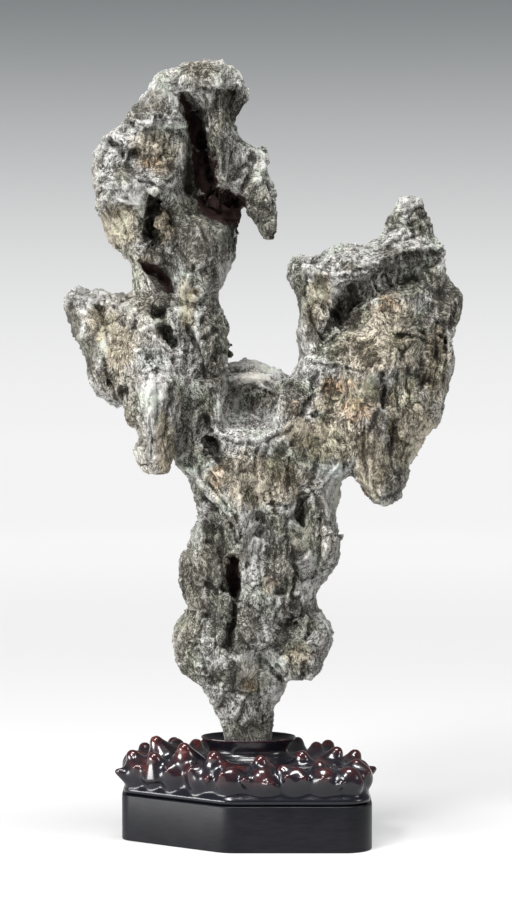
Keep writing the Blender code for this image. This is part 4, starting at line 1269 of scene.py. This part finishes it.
def make_stone():
    """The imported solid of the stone, refined and then weathered from its large forms down to its grain."""
    blank = add_object("stone_blank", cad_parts["stone"].data.copy())
    add_remesh(blank, BLANK_VOXEL)
    add_smooth(blank, BLANK_SMOOTHING)
    mesh = evaluated_mesh(blank, "carved_blank")
    carved_blank(mesh)
    blank = add_object("carved_blank", mesh)
    add_remesh(blank, BLANK_VOXEL)
    mesh = evaluated_mesh(blank, "weathered_stone")
    push_out(mesh, weathering(mesh))
    push_out(mesh, front_marks(mesh))
    push_out(mesh, crumbling(mesh))
    mesh = thinned(mesh, STONE_TRIANGLES)
    paint_stone(mesh)
    mesh.shade_smooth()
    mesh.materials.clear()
    mesh.materials.append(weathered_stone())
    stone = add_object("weathered_stone", mesh)
    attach(stone, "root")
    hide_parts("stone")
    return stone


# --- Carved stand and plinth ----------------------------------------------------------------------
def plan_points(corner_points):
    """The rounded six-sided plan, anticlockwise, with the outward direction at each point."""
    points, outward = [], []
    count = len(PLINTH_CORNERS)
    for i, (x, y, radius) in enumerate(PLINTH_CORNERS):
        corner = Vector((x, y))
        before = (Vector(PLINTH_CORNERS[i - 1][:2]) - corner).normalized()
        after = (Vector(PLINTH_CORNERS[(i + 1) % count][:2]) - corner).normalized()
        half = before.angle(after) / 2
        centre = corner + (before + after).normalized() * radius / math.sin(half)
        first = (corner + before * radius / math.tan(half) - centre).normalized()
        sweep = math.pi - 2 * half
        for step in range(corner_points):
            turn = Matrix.Rotation(sweep * step / (corner_points - 1), 2)
            direction = turn @ first
            points.append(centre + direction * radius)
            outward.append(direction)
    return points, outward


def bridge_rings(shape, rings):
    """Skins rings of equal counts and closes both ends."""
    rows = [[shape.verts.new(Vector(point) * MM) for point in ring] for ring in rings]
    count = len(rows[0])
    for lower, upper in zip(rows, rows[1:]):
        for i in range(count):
            j = (i + 1) % count
            shape.faces.new((lower[i], lower[j], upper[j], upper[i]))
    shape.faces.new(rows[0][::-1])
    shape.faces.new(rows[-1])


def round_collar(direction, radius):
    """The point of an oval round the collar in this direction."""
    place = direction.normalized() * radius
    return Vector((COLLAR_X + place.x, place.y * COLLAR_DEPTH))


def block_rings():
    points, outward = plan_points(9)
    rings = []
    for height, inset in FLANK:
        rings.append([(*(p - n * inset), BLOCK_FOOT + height) for p, n in zip(points, outward)])
    last = FLANK[-1][1]
    for height, share in CROWN:
        ring = []
        for p, n in zip(points, outward):
            edge = p - n * last
            place = edge.lerp(round_collar(edge, CROWN_RADIUS), share)
            ring.append((*place, BLOCK_FOOT + height))
        rings.append(ring)
    return rings


def knob_way(tip):
    """The level direction in which a knob leans, away from the stand's spine."""
    start, end = (Vector(point) for point in KNOB_SPINE)
    share = min(max((tip.xy - start).dot(end - start) / (end - start).length_squared, 0), 1)
    return (tip.xy - start.lerp(end, share)).normalized().to_3d()


def add_knob(shape, tip, knob):
    """A rounded cone whose root lies inside the block."""
    tip = Vector(tip)
    root = tip - knob_way(tip) * knob["reach"] - Vector((0, 0, knob["drop"]))
    way = (tip - root).normalized()
    length = (tip - root).length - knob["tip"]
    turn = way.to_track_quat("Z", "Y").to_matrix().to_4x4()
    cone = Matrix.Translation((root + way * length / 2) * MM) @ turn @ Matrix.Scale(MM, 4)
    sides = {"cap_ends": True, "segments": 32, "radius1": knob["root"], "radius2": knob["tip"]}
    bmesh.ops.create_cone(shape, depth=length, matrix=cone, **sides)
    ball = Matrix.Translation((root + way * length) * MM) @ Matrix.Scale(MM, 4)
    bmesh.ops.create_uvsphere(shape, u_segments=24, v_segments=16, radius=knob["tip"] * 1.02, matrix=ball)


def add_lobe(shape, x, y, half_width):
    """A rounded belly, its outside just within the edge of the plan."""
    edge = Vector((x, y, LOBE_MIDDLE))
    centre = edge - knob_way(edge) * (LOBE_BACK + LOBE_INSET)
    size = Vector((half_width, LOBE_BACK, LOBE_HALF_HEIGHT)) * MM
    ball = Matrix.Translation(centre * MM) @ Matrix.Diagonal((*size, 1))
    bmesh.ops.create_uvsphere(shape, u_segments=24, v_segments=16, radius=1, matrix=ball)


def filleted(mesh, rounds):
    """Fills the valleys in smoothly above the bead and leaves the crests nearly as they are."""
    points = read_points(mesh)
    edges = read_edges(mesh)
    free = fade_in(points[:, 2], BEAD_TOP - 3, BEAD_TOP + 2)
    for _ in range(rounds):
        step = averaged(points, edges, 1) - points
        inward = (step * read_normals(mesh)).sum(axis=1)
        points = points + step * (free * np.where(inward > 0, 1.0, 0.25))[:, None]
        write_points(mesh, points)


def collar_profile():
    """Radius and height, from the dish's middle over the rim and down the neck."""
    return (
        (0, DISH_FLOOR - 0.6),
        (20, DISH_FLOOR),
        (24, DISH_FLOOR + 0.5),
        (26.5, DISH_FLOOR + 1.5),
        (28.5, DISH_FLOOR + 3.0),
        (COLLAR_RADIUS - 0.9, COLLAR_RIM - 0.15),
        (COLLAR_RADIUS - 0.4, COLLAR_RIM),
        (COLLAR_RADIUS, COLLAR_RIM - 0.4),
        (COLLAR_RADIUS - 0.2, COLLAR_RIM - 1.0),
        (COLLAR_RADIUS - 1.2, COLLAR_RIM - 2.2),
        (COLLAR_RADIUS - 3.2, COLLAR_RIM - 4.2),
        (COLLAR_RADIUS - 4.6, COLLAR_RIM - 6.0),
        (COLLAR_NECK, COLLAR_RIM - 8.0),
        (COLLAR_NECK + 0.1, COLLAR_RIM - 9.3),
        (COLLAR_NECK + 0.9, COLLAR_RIM - 10.6),
        (COLLAR_NECK + 2.4, COLLAR_RIM - 11.8),
        (COLLAR_NECK + 4.6, COLLAR_RIM - 12.8),
        (COLLAR_NECK + 6.8, COLLAR_RIM - 17),
        (0, COLLAR_RIM - 20),
    )


def make_collar():
    def profile(shape):
        points = [shape.verts.new((r * MM, 0, z * MM)) for r, z in collar_profile()]
        for upper, lower in zip(points, points[1:]):
            shape.edges.new((upper, lower))

    collar = add_object("collar", mesh_from("collar", profile))
    collar.location.x = COLLAR_X * MM
    collar.scale.y = COLLAR_DEPTH
    screw = collar.modifiers.new("turn", "SCREW")
    screw.axis = "Z"
    screw.steps = screw.render_steps = 128
    screw.use_merge_vertices = True
    screw.merge_threshold = 0.00005
    screw.use_normal_calculate = True
    return collar


def superellipse(left, right, front, back):
    """Points round the section of the stone's foot, which is fuller than an ellipse."""
    turn = np.arange(SECTION_POINTS) * 2 * math.pi / SECTION_POINTS
    cosine, sine = np.cos(turn), np.sin(turn)
    x = (left + right) / 2 + (right - left) / 2 * np.sign(cosine) * np.abs(cosine) ** (2 / SECTION_POWER)
    y = (front + back) / 2 + (back - front) / 2 * np.sign(sine) * np.abs(sine) ** (2 / SECTION_POWER)
    return list(zip(x, y))


def make_socket():
    """The pocket that the stone's foot stands in, a little wider than the foot."""
    left, right, front, back = FOOT
    section = superellipse(left - SOCKET_PLAY, right + SOCKET_PLAY, front - SOCKET_PLAY, back + SOCKET_PLAY)
    rings = [[(x, y, height) for x, y in section] for height in (SOCKET_FLOOR, COLLAR_RIM + 5)]
    return add_object("socket", mesh_from("socket", lambda shape: bridge_rings(shape, rings)))


def make_carved_stand():
    def block(shape):
        bridge_rings(shape, block_rings())
        for x, y, height in LOWER_KNOBS:
            for side in (1, -1):
                add_knob(shape, (side * x, side * y, height), LOWER_KNOB)
        for x, y, half_width in LOBES:
            for side in (1, -1):
                add_lobe(shape, side * x, side * y, half_width)
        for tip in UPPER_KNOBS:
            add_knob(shape, tip, UPPER_KNOB)

    raw = add_object("block", mesh_from("block", block))
    add_remesh(raw, BLOCK_VOXEL)
    add_smooth(raw, 3)
    mesh = evaluated_mesh(raw, "carved_shore")
    filleted(mesh, FILLET_ROUNDS)
    carved = add_object("carved_shore", mesh)
    collar = make_collar()
    socket = make_socket()
    add_boolean(carved, "UNION", collar)
    add_boolean(carved, "DIFFERENCE", socket)
    mesh = evaluated_mesh(carved, "carved_shore")
    bpy.data.objects.remove(collar)
    bpy.data.objects.remove(socket)
    mesh = thinned(mesh, STAND_TRIANGLES)
    write_values(mesh, "hollow", np.clip(0.5 + hollowness(mesh, 12) / VALLEY_DEPTH, 0, 1))
    x, y, z = read_points(mesh).T
    within_collar = np.hypot(x - COLLAR_X, y / COLLAR_DEPTH) < COLLAR_RADIUS + 1
    write_values(mesh, "upper", fade_in(z, *RED_HEIGHTS) * (1 - COLLAR_DARKENING * within_collar))
    mesh.shade_smooth()
    mesh.materials.clear()
    mesh.materials.append(red_brown_lacquer())
    stand = add_object("carved_shore", mesh)
    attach(stand, "root")
    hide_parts("carved_stand")
    return stand


def make_plinth():
    curve = bpy.data.curves.new("plinth_block", "CURVE")
    curve.dimensions = "2D"
    curve.fill_mode = "BOTH"
    curve.extrude = (PLINTH_HEIGHT / 2 - PLINTH_EDGE) * MM
    curve.bevel_depth = PLINTH_EDGE * MM
    curve.bevel_resolution = 3
    curve.offset = -PLINTH_EDGE * MM
    points, _ = plan_points(20)
    spline = curve.splines.new("POLY")
    spline.points.add(len(points) - 1)
    for target, (x, y) in zip(spline.points, points):
        target.co = (x * MM, y * MM, 0, 1)
    spline.use_cyclic_u = True
    raised = add_object("plinth_block", curve)
    mesh = evaluated_mesh(raised, "plinth_block")
    mesh.transform(Matrix.Translation((0, 0, PLINTH_HEIGHT / 2 * MM)))
    shape = bmesh.new()
    shape.from_mesh(mesh)
    bmesh.ops.remove_doubles(shape, verts=shape.verts, dist=0.00001)
    shape.to_mesh(mesh)
    shape.free()
    mesh.shade_smooth()
    mesh.set_sharp_from_angle(angle=math.radians(40))
    mesh.materials.append(blue_black_lacquer())
    plinth = add_object("plinth_block", mesh)
    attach(plinth, "root")
    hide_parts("plinth")
    return plinth


# --- Studio ---------------------------------------------------------------------------------------
def make_sweep():
    """A round white floor whose rim curves up into a wall on every side."""

    def profile(shape):
        path = [(0.0, 0.0), (SWEEP_RADIUS - SWEEP_CURVE, 0.0)]
        for step in range(1, 13):
            turn = math.radians(90 * step / 12)
            radius = SWEEP_RADIUS - SWEEP_CURVE * (1 - math.sin(turn))
            path.append((radius, SWEEP_CURVE * (1 - math.cos(turn))))
        path.append((SWEEP_RADIUS, SWEEP_WALL))
        points = [shape.verts.new((radius, 0, height)) for radius, height in path]
        for inner, outer in zip(points, points[1:]):
            shape.edges.new((inner, outer))

    sweep = add_object("studio_sweep", mesh_from("studio_sweep", profile))
    screw = sweep.modifiers.new("turn", "SCREW")
    screw.axis = "Z"
    screw.steps = screw.render_steps = 96
    screw.use_merge_vertices = True
    screw.merge_threshold = 0.0001
    mesh = evaluated_mesh(sweep, "studio_sweep")
    mesh.shade_smooth()
    mesh.materials.append(studio_paper())
    add_object("studio_sweep", mesh)


def add_light(name, place, target, size, power):
    data = bpy.data.lights.new(name, "AREA")
    data.shape = "RECTANGLE"
    data.size, data.size_y = size
    data.energy = power
    light = add_object(name, data)
    light.location = place
    light.rotation_euler = (Vector(target) - Vector(place)).to_track_quat("-Z", "Y").to_euler()


def light_studio():
    for name, settings in LIGHTS.items():
        add_light(name, **settings)
    world = bpy.data.worlds.new("studio_air")
    world.use_nodes = True
    world.node_tree.nodes["Background"].inputs["Color"].default_value = (1.0, 1.0, 1.0, 1)
    world.node_tree.nodes["Background"].inputs["Strength"].default_value = AIR_STRENGTH
    bpy.context.scene.world = world
    bpy.context.scene.view_settings.view_transform = "Standard"


def make_camera():
    data = bpy.data.cameras.new("camera")
    data.lens = LENS
    data.sensor_width = SENSOR
    camera = add_object("camera", data)
    camera.location = EYE * MM
    camera.rotation_euler = (math.radians(90 + EYE_PITCH), 0, 0)
    bpy.context.scene.camera = camera


def main():
    make_camera()
    make_sweep()
    light_studio()
    make_plinth()
    make_carved_stand()
    make_stone()


main()
